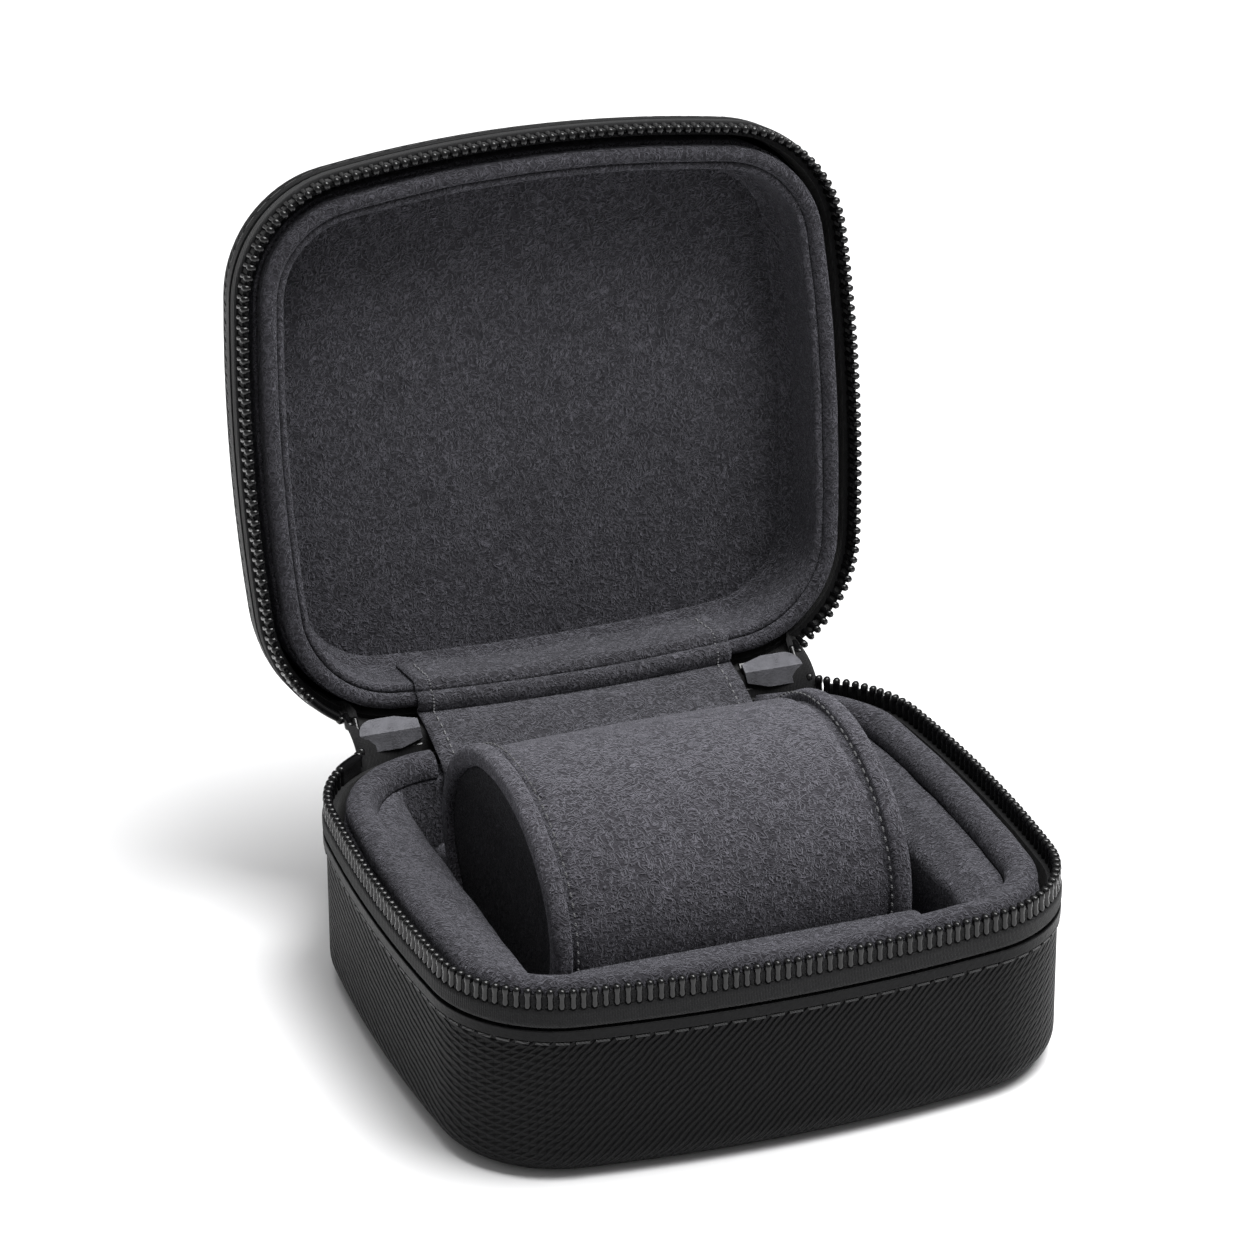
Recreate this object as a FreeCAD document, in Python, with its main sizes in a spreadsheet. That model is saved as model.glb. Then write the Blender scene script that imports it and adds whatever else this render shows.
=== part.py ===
import FreeCAD, Part

import math
import os

import Sketcher
from FreeCAD import Placement, Rotation, Vector

# A zip-around travel case that holds one watch on an oval cushion.  Units are millimetres.
# +X is to the right, +Y to the back where the lid hinges, +Z up.  The origin is the middle
# of the face the case stands on.  Every layer of the base and of the lid follows one plan
# outline, the ring that the tips of the zip teeth draw: four long bowed sides and four
# corner arcs.  A layer is placed by its offset from that ring, positive outwards, and by
# its depth from the rim plane.  The lid is drawn closed and then swung open.

SIZES = {
    # plan outline of the ring of zip teeth
    "ring_width": 110.0, "ring_depth": 100.0,
    "front_corner": 21.0, "back_corner": 23.0,
    "front_bow": 240.0, "back_bow": 440.0, "side_bow": 330.0,
    # heights, and how the lid meets the base
    "rim_height": 34.8, "lid_height": 18.7, "closing_gap": 0.3, "lid_overhang": 1.0,
    "open_angle": 98.5, "hinge_setback": 1.0, "hinge_drop": 1.7,
    # outer leather, its edge binding and the end panels
    "leather_proud": 0.4, "leather_thick": 1.2, "leather_edge_depth": 7.2,
    "base_round": 5.0, "lid_round": 7.0, "panel_hem": 0.5,
    "binding_thick": 0.5, "binding_height": 1.9, "binding_round": 0.2,
    "stitch_pitch": 3.2, "stitch_long": 2.2, "stitch_thick": 0.4,
    # stiffening board between leather and padding
    "base_board_thick": 1.8, "lid_board_thick": 0.8, "board_edge_gap": 0.2, "layer_gap": 0.05,
    # zip tape and teeth
    "tape_thick": 0.6, "tape_top_depth": 3.6, "tape_bulge_low": 7.0, "tape_bulge_proud": 1.0,
    "tape_bulge_round": 1.2, "base_tape_low": 12.0, "lid_tape_low": 10.0,
    "tooth_pitch": 1.8, "tooth_wide": 1.1, "tooth_inner": 0.75, "tooth_outer": 0.75,
    "tooth_chamfer": 0.4, "tooth_tip_depth": 0.1,
    # padded rims and walls
    "base_roll_start": 3.0, "base_roll_wide": 5.6, "base_roll_depth": 1.0, "base_roll_round": 2.6,
    "lid_roll_start": 3.2, "lid_roll_wide": 2.7, "lid_roll_depth": 0.8, "lid_roll_round": 1.3,
    "roll_low": 5.0, "pad_gap": 0.1, "lid_lip_wide": 1.4, "lid_lip_depth": 2.0, "lip_round": 0.6,
    "floor_pad_thick": 1.1, "lid_pad_thick": 1.1,
    # side bolsters and the two blocks that cradle the cushion
    "bolster_inset": 17.5, "bolster_top_depth": 4.5, "bolster_fall": 3.0, "bolster_round": 3.0,
    "cradle_half_long": 32.0, "front_cradle_depth": 8.3, "back_cradle_depth": 14.8,
    "cradle_clearance": 0.5, "cradle_toe": 12.0,
    # room round the cushion, and its cover, end bands and end discs
    "cushion_front_room": 15.4, "cushion_back_room": 8.4,
    "cushion_left_room": 4.8, "cushion_right_room": 6.9,
    "cushion_floor_gap": 0.3, "cushion_lid_gap": 0.6, "cushion_cover_thick": 1.5,
    "end_band_long": 3.2, "end_band_proud": 0.5, "end_band_wide": 4.0,
    "end_disc_thick": 1.4, "end_disc_recess": 1.2,
    # hinge strips
    "strip_wide": 59.0, "strip_thick": 0.9, "outer_strip_wide": 54.0, "outer_strip_thick": 1.0,
    "strip_clearance": 0.3, "strip_low_depth": 12.5, "strip_lid_depth": 12.0,
    "outer_strip_low_depth": 14.0, "outer_strip_lid_depth": 11.0,
    # sliders
    "slider_gap": 1.0, "slider_long": 11.0, "inner_plate_half_tall": 3.1,
    "outer_plate_half_tall": 2.6, "plate_thick": 0.7, "plate_spread": 0.95, "plate_ridge": 0.3,
    "plate_nose": 2.6, "plate_tail_half_tall": 1.9, "plate_shoulder": 4.0,
    "neck_long": 2.2, "neck_half_tall": 0.9, "chain_inset": 1.0, "chain_clearance": 0.25,
    "fold_inset": 0.9, "fold_drop": 2.3, "teeth_stop": 1.9,
    # links and pull tabs
    "crown_reach": 3.6, "crown_radius": 0.65, "crown_half_long": 2.8, "lug_thick": 0.9,
    "link_clearance": 0.2, "link_wall": 0.65, "link_drop": 3.4, "link_thick": 1.2,
    "pull_wide": 5.0, "pull_long": 15.0, "pull_thick": 1.0, "eye_radius": 1.1, "eye_wall": 0.8,
}

doc = FreeCAD.newDocument("watch_case")
sheet = doc.addObject("Spreadsheet::Sheet", "sizes")
for row, (alias, value) in enumerate(SIZES.items(), start=1):
    sheet.set(f"A{row}", alias)
    sheet.set(f"B{row}", str(value))
    sheet.setAlias(f"B{row}", alias)
doc.recompute()

ROUND_TOLERANCE = 1e-4
TOOL_LENGTH = 400.0
NODES = {}


def size(alias):
    """The value of one cell of the sheet."""
    return float(getattr(sheet, alias))


def value(expression):
    """The number that an expression over the sheet's cells gives now."""
    return float(sheet.evalExpression(expression))


def node(name, piece, swing=None):
    """Names a finished sub-part and puts it where it stands at rest."""
    piece.Label = name
    if swing is not None:
        piece.Placement = swing.multiply(piece.Placement)
    NODES[name] = piece
    return piece


# ---------------------------------------------------------------- frame of the two halves

OUT = {"base": "0", "lid": "sizes.lid_overhang"}
HEIGHT = {"base": "sizes.rim_height", "lid": "sizes.lid_height"}


def level(half, depth):
    """Height of a depth below the base's rim, or above the closed lid's rim."""
    if half == "base":
        return f"sizes.rim_height - ({depth})"
    return f"sizes.rim_height + sizes.closing_gap + ({depth})"


def turned(angle, back, up):
    """A turn about the X direction through a point of the YZ plane, opening the case."""
    return Placement(Vector(), Rotation(Vector(-1, 0, 0), angle), Vector(0, back, up))


HINGE_BACK = size("ring_depth") / 2 + size("hinge_setback")
HINGE_UP = size("rim_height") - size("hinge_drop")
LID_OPEN = turned(size("open_angle"), HINGE_BACK, HINGE_UP)
SWING = {"base": Placement(), "lid": LID_OPEN}


# ---------------------------------------------------------------- the plan outline

def arc_join(first, first_radius, second, second_radius, corner, side):
    """Centre of a corner arc that touches two larger arcs from inside."""
    reach = second.sub(first)
    span = reach.Length
    along = ((first_radius - corner) ** 2 - (second_radius - corner) ** 2 + span ** 2) / (2 * span)
    aside = math.sqrt((first_radius - corner) ** 2 - along ** 2)
    unit = reach.normalize()
    return first + unit * along + Vector(-unit.y, unit.x, 0) * aside * side


def bearing(centre, point):
    return math.atan2(point.y - centre.y, point.x - centre.x)


def outline(sketch, offset):
    """Adds the closed outline, grown by an offset, with its sizes bound to the sheet."""
    grow = value(offset)
    first = sketch.GeometryCount
    radius = {name: size(name) + grow
              for name in ("front_bow", "back_bow", "side_bow", "front_corner", "back_corner")}
    front = Vector(0, size("front_bow") - size("ring_depth") / 2, 0)
    back = Vector(0, size("ring_depth") / 2 - size("back_bow"), 0)
    right = Vector(size("ring_width") / 2 - size("side_bow"), 0, 0)
    near = arc_join(front, radius["front_bow"], right, radius["side_bow"], radius["front_corner"], 1)
    far = arc_join(back, radius["back_bow"], right, radius["side_bow"], radius["back_corner"], -1)
    left, near_left, far_left = (Vector(-centre.x, centre.y, 0) for centre in (right, near, far))
    near_turns = (bearing(front, near), bearing(right, near))
    far_turns = (bearing(right, far), bearing(back, far))
    half_turn = math.pi
    arcs = [
        ("front_bow", front, -half_turn - near_turns[0], near_turns[0]),
        ("front_corner", near, near_turns[0], near_turns[1]),
        ("side_bow", right, near_turns[1], far_turns[0]),
        ("back_corner", far, far_turns[0], far_turns[1]),
        ("back_bow", back, far_turns[1], half_turn - far_turns[1]),
        ("back_corner", far_left, half_turn - far_turns[1], half_turn - far_turns[0]),
        ("side_bow", left, half_turn - far_turns[0], -half_turn - near_turns[1]),
        ("front_corner", near_left, -half_turn - near_turns[1], -half_turn - near_turns[0]),
    ]
    for name, centre, start, end in arcs:
        circle = Part.Circle(centre, Vector(0, 0, 1), radius[name])
        sketch.addGeometry(Part.ArcOfCircle(circle, start, end if end > start else end + 2 * math.pi))
    count = len(arcs)
    for i in range(count):
        sketch.addConstraint(Sketcher.Constraint("Tangent", first + i, 2, first + (i + 1) % count, 1))
    for i in (0, 4):
        sketch.addConstraint(Sketcher.Constraint("PointOnObject", first + i, 3, -2))
    for i in (2, 6):
        sketch.addConstraint(Sketcher.Constraint("PointOnObject", first + i, 3, -1))
    for i, (name, _centre, _start, _end) in enumerate(arcs):
        bind(sketch, Sketcher.Constraint("Radius", first + i, radius[name]), f"sizes.{name} + ({offset})")
    stations = ((0, "DistanceY", "sizes.front_bow - sizes.ring_depth / 2"),
                (4, "DistanceY", "sizes.ring_depth / 2 - sizes.back_bow"),
                (2, "DistanceX", "sizes.ring_width / 2 - sizes.side_bow"),
                (6, "DistanceX", "sizes.side_bow - sizes.ring_width / 2"))
    for i, kind, expression in stations:
        bind(sketch, Sketcher.Constraint(kind, -1, 1, first + i, 3, value(expression)), expression)


def bind(sketch, constraint, expression):
    """Adds one constraint and ties its value to the sheet."""
    index = sketch.addConstraint(constraint)
    sketch.setExpression(f"Constraints[{index}]", expression)


# ---------------------------------------------------------------- building blocks

def plane(body, role):
    return [face for face in body.Origin.OriginFeatures if face.Role == role][0]


def flat_sketch(body, name, role="XY_Plane"):
    sketch = body.newObject("Sketcher::SketchObject", name)
    sketch.AttachmentSupport = [(plane(body, role), "")]
    sketch.MapMode = "FlatFace"
    return sketch


def fillet(body, name, source, edges, radius):
    rounding = body.newObject("PartDesign::Fillet", name)
    rounding.Base = (source, edges)
    rounding.setExpression("Radius", radius)
    body.Tip = rounding
    doc.recompute()
    return rounding


def level_edges(shape, height, outer_only=False):
    """Names of the edges that lie flat at a height."""
    flat = [(f"Edge{i}", edge) for i, edge in enumerate(shape.Edges, start=1)
            if abs(edge.BoundBox.ZMin - height) < ROUND_TOLERANCE
            and abs(edge.BoundBox.ZMax - height) < ROUND_TOLERANCE]
    if outer_only:
        rim = max((wire for face in shape.Faces for wire in face.Wires
                   if abs(wire.BoundBox.ZMin - height) < ROUND_TOLERANCE
                   and abs(wire.BoundBox.ZMax - height) < ROUND_TOLERANCE),
                  key=lambda wire: wire.BoundBox.DiagonalLength)
        flat = [(name, edge) for name, edge in flat if any(edge.isSame(other) for other in rim.Edges)]
    return [name for name, _edge in flat]


def layer(half, name, outer, near, far, inner=None, round_near=None, round_far=None):
    """A slab, or a band when it has an inner offset, between two depths of one half."""
    body = doc.addObject("PartDesign::Body", name)
    sketch = flat_sketch(body, name + "_plan")
    outline(sketch, f"{OUT[half]} + ({outer})")
    if inner is not None:
        outline(sketch, f"{OUT[half]} + ({inner})")
    low = level(half, far if half == "base" else near)
    sketch.setExpression("AttachmentOffset.Base.z", low)
    pad = body.newObject("PartDesign::Pad", name + "_pad")
    pad.Profile = sketch
    pad.setExpression("Length", f"({far}) - ({near})")
    body.Tip = pad
    doc.recompute()
    result = pad
    for depth, radius, outer_only in ((near, round_near, False), (far, round_far, True)):
        if radius is not None:
            edges = level_edges(result.Shape, value(level(half, depth)), outer_only)
            result = fillet(body, f"{name}_round_{len(body.Group)}", result, edges, radius)
    return body


def cut(name, body, *tools):
    """One body less the others."""
    tool = tools[0]
    if len(tools) > 1:
        tool = doc.addObject("Part::MultiFuse", name + "_tools")
        tool.Shapes = list(tools)
    piece = doc.addObject("Part::Cut", name)
    piece.Base = body
    piece.Tool = tool
    doc.recompute()
    return piece


def fuse(name, *bodies):
    piece = doc.addObject("Part::MultiFuse", name)
    piece.Shapes = list(bodies)
    doc.recompute()
    return piece


def common(name, first, second):
    piece = doc.addObject("Part::Common", name)
    piece.Base = first
    piece.Tool = second
    doc.recompute()
    return piece


def box(name, spans):
    """A Part::Box from three pairs of expressions, low and high along X, Y and Z."""
    piece = doc.addObject("Part::Box", name)
    for side, axis, (low, high) in zip(("Length", "Width", "Height"), "xyz", spans):
        piece.setExpression(side, f"({high}) - ({low})")
        piece.setExpression(f"Placement.Base.{axis}", low)
    return piece


def drawn(name, shape):
    """A sub-part whose shape comes straight from Part's functions."""
    piece = doc.addObject("Part::Feature", name)
    piece.Shape = shape
    return piece


# ---------------------------------------------------------------- leather, panels and boards

def leather(half, rounding):
    """Side cover with its rounded edge, and the panel that closes the end."""
    thick, gap = "sizes.leather_thick", "sizes.layer_gap"
    proud, end = "sizes.leather_proud", HEIGHT[half]
    outer = layer(half, f"{half}_leather_outer", proud, "sizes.leather_edge_depth", end,
                  round_far=rounding)
    inside = layer(half, f"{half}_leather_inside", f"{proud} - {thick}", "0", f"{end} - {thick}",
                   round_far=f"{rounding} - {thick}")
    mouth = layer(half, f"{half}_panel_mouth", f"{proud} - {rounding} - sizes.panel_hem",
                  f"{end} - 2 * {thick}", f"{end} + {thick}")
    node(f"{half}_leather_side", cut(f"{half}_leather_side", outer, inside, mouth), SWING[half])
    name = "base_bottom_panel" if half == "base" else "lid_top_panel"
    node(name, layer(half, name, f"{proud} - {rounding} - sizes.panel_hem - {gap}",
                     f"{end} - {thick}", end), SWING[half])


def board(half, rounding):
    """Stiff tray that gives the half its shape."""
    thick = f"sizes.{half}_board_thick"
    skin = "(sizes.leather_thick + sizes.layer_gap)"
    face = f"sizes.leather_proud - {skin}"
    outer = layer(half, f"{half}_board_outer", face, f"sizes.{half}_tape_low + sizes.board_edge_gap",
                  f"{HEIGHT[half]} - {skin}", round_far=f"{rounding} - {skin}")
    inside = layer(half, f"{half}_board_inside", f"{face} - {thick}", "0",
                   f"{HEIGHT[half]} - {skin} - {thick}", round_far=f"{rounding} - {skin} - {thick}")
    node(f"{half}_board_tray", cut(f"{half}_board_tray", outer, inside), SWING[half])


def binding(half):
    """Folded leather edge that is sewn round the top of the side cover."""
    face = "sizes.leather_proud + sizes.layer_gap"
    near, far = "sizes.leather_edge_depth", "sizes.leather_edge_depth + sizes.binding_height"
    node(f"{half}_edge_binding",
         layer(half, f"{half}_edge_binding", f"{face} + sizes.binding_thick", near, far, inner=face,
               round_near="sizes.binding_round", round_far="sizes.binding_round"), SWING[half])


# ---------------------------------------------------------------- what repeats round the ring

def ring_stations(half, offset, pitch):
    """Evenly spaced places round an outline: a point and the direction it runs in."""
    sketch = doc.addObject("Sketcher::SketchObject", f"{half}_path")
    outline(sketch, f"{OUT[half]} + ({offset})")
    doc.recompute()
    wire = sketch.Shape.Wires[0]
    count = 2 * round(wire.Length / pitch / 2)
    points = wire.discretize(Number=count + 1)[:-1]
    doc.removeObject(sketch.Name)
    for i, point in enumerate(points):
        along = points[(i + 1) % count] - points[i - 1]
        yield point, math.degrees(math.atan2(along.y, along.x))


def strung(half, name, shape, offset, pitch, depth, keep):
    """Copies of one small solid round the ring, where the test keeps them."""
    height = value(level(half, depth))
    copies = []
    for point, angle in ring_stations(half, offset, pitch):
        if keep(point):
            copy = shape.copy()
            copy.Placement = Placement(Vector(point.x, point.y, height), Rotation(Vector(0, 0, 1), angle))
            copies.append(copy)
    return node(name, drawn(name, Part.makeCompound(copies)), SWING[half])


def tooth_shape(half):
    """One tooth: a bar across the tape with chamfered tip, its foot on the tape's edge."""
    inner, outer, edge = size("tooth_inner"), size("tooth_outer"), size("tooth_chamfer")
    tall = size("tape_top_depth") - size("tooth_tip_depth")
    up = -1 if half == "lid" else 1
    profile = [(outer, 0), (outer, tall - edge), (outer - edge, tall), (edge - inner, tall),
               (-inner, tall - edge), (-inner, 0)]
    points = [Vector(-size("tooth_wide") / 2, -across, up * high) for across, high in profile]
    face = Part.Face(Part.makePolygon(points + points[:1]))
    return face.extrude(Vector(size("tooth_wide"), 0, 0))


def open_teeth(point):
    """True where the row of teeth is open, away from the sliders and the hinge."""
    return point.y < 0 or abs(point.x) > value("sizes.strip_wide / 2 + sizes.slider_gap"
                                               " + sizes.slider_long + sizes.teeth_stop")


def zip_half(half):
    """Woven tape, standing on edge and bulging outwards, and its row of teeth."""
    back = "sizes.leather_proud - sizes.leather_thick - sizes.layer_gap"
    hem = layer(half, f"{half}_tape_hem", back, "sizes.tape_top_depth", f"sizes.{half}_tape_low",
                inner=f"{back} - sizes.tape_thick")
    bulge = layer(half, f"{half}_tape_bulge", "sizes.tape_bulge_proud", "sizes.tape_top_depth",
                  "sizes.tape_bulge_low", inner=back)
    far_edges = level_edges(bulge.Shape, value(level(half, "sizes.tape_bulge_low")), outer_only=True)
    rounding = fillet(bulge, f"{half}_tape_round", bulge.Tip, far_edges, "sizes.tape_bulge_round")
    near_edges = level_edges(rounding.Shape, value(level(half, "sizes.tape_top_depth")), outer_only=True)
    fillet(bulge, f"{half}_tape_round_top", rounding, near_edges, "sizes.tape_bulge_round / 2")
    node(f"{half}_zip_tape", fuse(f"{half}_zip_tape", hem, bulge), SWING[half])
    strung(half, f"{half}_zip_teeth", tooth_shape(half), "0", size("tooth_pitch"),
           "sizes.tape_top_depth", open_teeth)


def binding_stitches(half):
    """Thread that shows under the binding, broken where the hinge strip covers it."""
    thick = size("stitch_thick")
    thread = Part.makeBox(size("stitch_long"), thick, thick,
                          Vector(-size("stitch_long") / 2, -thick, -thick / 2))
    depth = "sizes.leather_edge_depth + sizes.binding_height + sizes.stitch_thick"
    strung(half, f"{half}_binding_stitches", thread, "sizes.leather_proud + sizes.layer_gap",
           size("stitch_pitch"), depth,
           lambda point: point.y < 0 or abs(point.x) > size("outer_strip_wide") / 2 + size("stitch_pitch"))


# ---------------------------------------------------------------- padding

BOARD_FACE = "sizes.leather_proud - sizes.leather_thick - sizes.layer_gap"
PAD_OUTER = {half: f"{BOARD_FACE} - sizes.{half}_board_thick - sizes.layer_gap" for half in OUT}
ROLL_INSIDE = {half: f"-(sizes.{half}_roll_start + sizes.{half}_roll_wide)" for half in OUT}
INSIDE = {"base": ROLL_INSIDE["base"], "lid": f"{ROLL_INSIDE['lid']} - sizes.lid_lip_wide"}
SKINS = {half: f"sizes.leather_thick + sizes.{half}_board_thick + 2 * sizes.layer_gap" for half in OUT}
FLOOR_TOP = f"{SKINS['base']} + sizes.floor_pad_thick"
PANEL_DEPTH = f"sizes.lid_height - ({SKINS['lid']}) - sizes.lid_pad_thick"


def strip_gate(half):
    """The stretch of the rim that makes way for the hinge strip."""
    half_wide = "sizes.strip_wide / 2 + sizes.strip_clearance"
    return box(f"{half}_strip_gate", ((f"-({half_wide})", half_wide), ("0", "sizes.ring_depth"),
                                      ("0", level(half, "sizes.roll_low + sizes.pad_gap / 2")
                                       if half == "lid" else "2 * sizes.rim_height")))


def rim_roll(half):
    """Soft roll round the rim, open at the back for the hinge strip."""
    name = f"{half}_rim_roll"
    ring = layer(half, f"{name}_ring", f"-sizes.{half}_roll_start", f"sizes.{half}_roll_depth",
                 "sizes.roll_low", inner=ROLL_INSIDE[half], round_near=f"sizes.{half}_roll_round")
    node(name, cut(name, ring, strip_gate(half)), SWING[half])


def inside_board(half):
    """The rounded room inside one half's board."""
    return layer(half, f"{half}_board_room", PAD_OUTER[half], "0", f"{HEIGHT[half]} - ({SKINS[half]})",
                 round_far=f"sizes.{half}_round - ({SKINS[half]})")


def wall_ring(half, end):
    """Padded wall from under the roll to the end pad, shaped to the board outside."""
    ring = layer(half, f"{half}_wall_ring", PAD_OUTER[half], "sizes.roll_low + sizes.pad_gap",
                 f"{end} - sizes.layer_gap", inner=INSIDE[half])
    return common(f"{half}_wall_padding", ring, inside_board(half))


def end_pad(half, name, depth):
    """Flat pad on the floor of the base, or on the ceiling of the lid."""
    ceiling = f"{HEIGHT[half]} - ({SKINS[half]})"
    edge = f"{PAD_OUTER[half]} - (sizes.{half}_round - ({SKINS[half]}))"
    node(name, layer(half, name, edge, depth, ceiling), SWING[half])


def base_padding():
    """The base's padded wall and floor."""
    floor_depth = f"sizes.rim_height - ({FLOOR_TOP})"
    node("base_wall_padding", wall_ring("base", floor_depth))
    end_pad("base", "base_floor_pad", floor_depth)


def lid_padding():
    """The lid's padded wall with its rounded lip, and the padded panel."""
    lip = layer("lid", "lid_lip_ring", f"{ROLL_INSIDE['lid']} - sizes.pad_gap", "sizes.lid_lip_depth",
                f"{PANEL_DEPTH} - sizes.layer_gap", inner=INSIDE["lid"], round_near="sizes.lip_round")
    lip_open = cut("lid_lip_open", lip, strip_gate("lid"))
    node("lid_wall_padding", fuse("lid_padding", lip_open, wall_ring("lid", PANEL_DEPTH)), SWING["lid"])
    end_pad("lid", "lid_lining_panel", PANEL_DEPTH)


def cavity(name):
    """The room inside the base's walls, above its floor pad."""
    return layer("base", name, f"{INSIDE['base']} - sizes.pad_gap", "0",
                 f"sizes.rim_height - ({FLOOR_TOP}) - sizes.layer_gap")


def bolsters():
    """Sloping side pads that fill the cavity's left and right."""
    low = value(f"{FLOOR_TOP} + sizes.layer_gap")
    top = size("rim_height") - size("bolster_top_depth")
    inner = size("ring_width") / 2 - size("bolster_inset")
    outer = size("ring_width") / 2
    crease = outer + value(INSIDE["base"])
    for side, sign in (("left", -1), ("right", 1)):
        name = f"base_bolster_{side}"
        points = [Vector(sign * x, -size("ring_depth"), z) for x, z in
                  ((outer, low), (outer, top), (crease, top), (inner, top - size("bolster_fall")),
                   (inner, low))]
        wedge = Part.Face(Part.makePolygon(points + points[:1])).extrude(
            Vector(0, 2 * size("ring_depth"), 0))
        shoulder = [edge for edge in wedge.Edges
                    if abs(edge.BoundBox.XLength) < ROUND_TOLERANCE
                    and abs(edge.CenterOfMass.x - sign * inner) < ROUND_TOLERANCE
                    and abs(edge.BoundBox.ZMax - points[3].z) < ROUND_TOLERANCE
                    and edge.BoundBox.ZLength < ROUND_TOLERANCE]
        wedge = wedge.makeFillet(size("bolster_round"), shoulder)
        node(name, common(name, drawn(f"{name}_wedge", wedge), cavity(f"{name}_trim")))


def oval(name, half_deep, half_tall, low_x, high_x, back, up):
    """An oval bar along X, bound to the sheet: an elliptic sketch and a pad."""
    body = doc.addObject("PartDesign::Body", name)
    sketch = flat_sketch(body, name + "_section", "YZ_Plane")
    deep, tall = value(half_deep), value(half_tall)
    centre = Vector(value(back), value(up), 0)
    longways, upways = max(deep, tall), min(deep, tall)
    major = Vector(longways, 0, 0) if deep >= tall else Vector(0, longways, 0)
    minor = Vector(0, upways, 0) if deep >= tall else Vector(-upways, 0, 0)
    sketch.addGeometry(Part.Ellipse(centre + major, centre + minor, centre))
    sketch.exposeInternalGeometry(0)
    doc.recompute()
    kind = "DistanceX" if deep >= tall else "DistanceY"
    other = "DistanceY" if deep >= tall else "DistanceX"
    bind(sketch, Sketcher.Constraint("DistanceX", -1, 1, 0, 3, centre.x), back)
    bind(sketch, Sketcher.Constraint("DistanceY", -1, 1, 0, 3, centre.y), up)
    lines = [i for i in range(1, sketch.GeometryCount) if sketch.Geometry[i].TypeId.endswith("LineSegment")]
    sketch.addConstraint(Sketcher.Constraint("Horizontal" if deep >= tall else "Vertical", lines[0]))
    for index, axis, amount in ((lines[0], kind, (half_deep, half_tall)[deep < tall]),
                                (lines[1], other, (half_tall, half_deep)[deep < tall])):
        line = sketch.Geometry[index]
        ahead = (line.EndPoint - line.StartPoint).dot(Vector(axis == "DistanceX", axis == "DistanceY", 0)) > 0
        ends = (index, 1, index, 2) if ahead else (index, 2, index, 1)
        bind(sketch, Sketcher.Constraint(axis, *ends, 2 * value(amount)), f"2 * ({amount})")
    sketch.setExpression("AttachmentOffset.Base.z", low_x)
    pad = body.newObject("PartDesign::Pad", name + "_pad")
    pad.Profile = sketch
    pad.setExpression("Length", f"({high_x}) - ({low_x})")
    body.Tip = pad
    doc.recompute()
    return body


CUSHION_FRONT = f"-sizes.ring_depth / 2 - ({INSIDE['base']}) + sizes.cushion_front_room"
CUSHION_BACK = f"sizes.ring_depth / 2 + ({INSIDE['base']}) - sizes.cushion_back_room"
CUSHION_LEFT = "-sizes.ring_width / 2 + sizes.bolster_inset + sizes.cushion_left_room"
CUSHION_RIGHT = "sizes.ring_width / 2 - sizes.bolster_inset - sizes.cushion_right_room"
CUSHION_LOW = f"{FLOOR_TOP} + sizes.cushion_floor_gap"
CUSHION_HIGH = level("lid", f"{PANEL_DEPTH} - sizes.cushion_lid_gap")
CUSHION_DEEP = f"(({CUSHION_BACK}) - ({CUSHION_FRONT})) / 2"
CUSHION_TALL = f"(({CUSHION_HIGH}) - ({CUSHION_LOW})) / 2"
CUSHION_MIDDLE = (f"(({CUSHION_BACK}) + ({CUSHION_FRONT})) / 2", f"(({CUSHION_HIGH}) + ({CUSHION_LOW})) / 2")


def cushion_bar(name, shrink, low, high):
    """A bar of the cushion's oval section, smaller all round, between two places along X."""
    return oval(name, f"{CUSHION_DEEP} - ({shrink})", f"{CUSHION_TALL} - ({shrink})", low, high,
                *CUSHION_MIDDLE)


def cradles():
    """Two blocks on the floor, in front of and behind the cushion, hollowed to fit it."""
    half_long = "sizes.cradle_half_long"
    toes = {"front": ("-sizes.ring_depth", f"{CUSHION_MIDDLE[0]} - sizes.cradle_toe"),
            "back": (f"{CUSHION_MIDDLE[0]} + sizes.cradle_toe", "sizes.ring_depth")}
    for end, span in toes.items():
        name = f"base_cradle_{end}"
        block = box(f"{name}_block", ((f"-{half_long}", half_long), span,
                                      ("0", f"sizes.rim_height - sizes.{end}_cradle_depth")))
        hollow = cushion_bar(f"{name}_hollow", "-sizes.cradle_clearance",
                             f"{CUSHION_LEFT} - sizes.ring_width", f"{CUSHION_RIGHT} + sizes.ring_width")
        node(name, cut(name, common(f"{name}_body", block, cavity(f"{name}_trim")), hollow))


def cushion():
    """Oval pillow: foam core, suede cover, a thick band and a recessed disc at each end."""
    band, proud, gap = "sizes.end_band_long", "sizes.end_band_proud", "sizes.layer_gap"
    low, high = f"{CUSHION_LEFT} + {band} + {gap}", f"{CUSHION_RIGHT} - {band} - {gap}"
    skin = f"{proud} + sizes.cushion_cover_thick"
    node("cushion_core", cushion_bar("cushion_core", f"{skin} + {gap}", low, high))
    node("cushion_cover", cut("cushion_cover", cushion_bar("cushion_cover_outer", proud, low, high),
                              cushion_bar("cushion_cover_inside", skin, f"{low} - {band}",
                                          f"{high} + {band}")))
    ends = {"left": (CUSHION_LEFT, "+"), "right": (CUSHION_RIGHT, "-")}
    for side, (end, inwards) in ends.items():
        def span(near, far):
            places = (f"{end} {inwards} ({near})", f"{end} {inwards} ({far})")
            return places if side == "left" else places[::-1]
        name = f"cushion_band_{side}"
        ring = cushion_bar(f"{name}_ring", "0", *span("0", band))
        hole = cushion_bar(f"{name}_hole", "sizes.end_band_wide", *span(f"-{band}", f"2 * {band}"))
        node(name, cut(name, ring, hole))
        node(f"cushion_end_{side}",
             cushion_bar(f"cushion_end_{side}", f"sizes.end_band_wide + {gap}",
                         *span("sizes.end_disc_recess", "sizes.end_disc_recess + sizes.end_disc_thick")))


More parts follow.
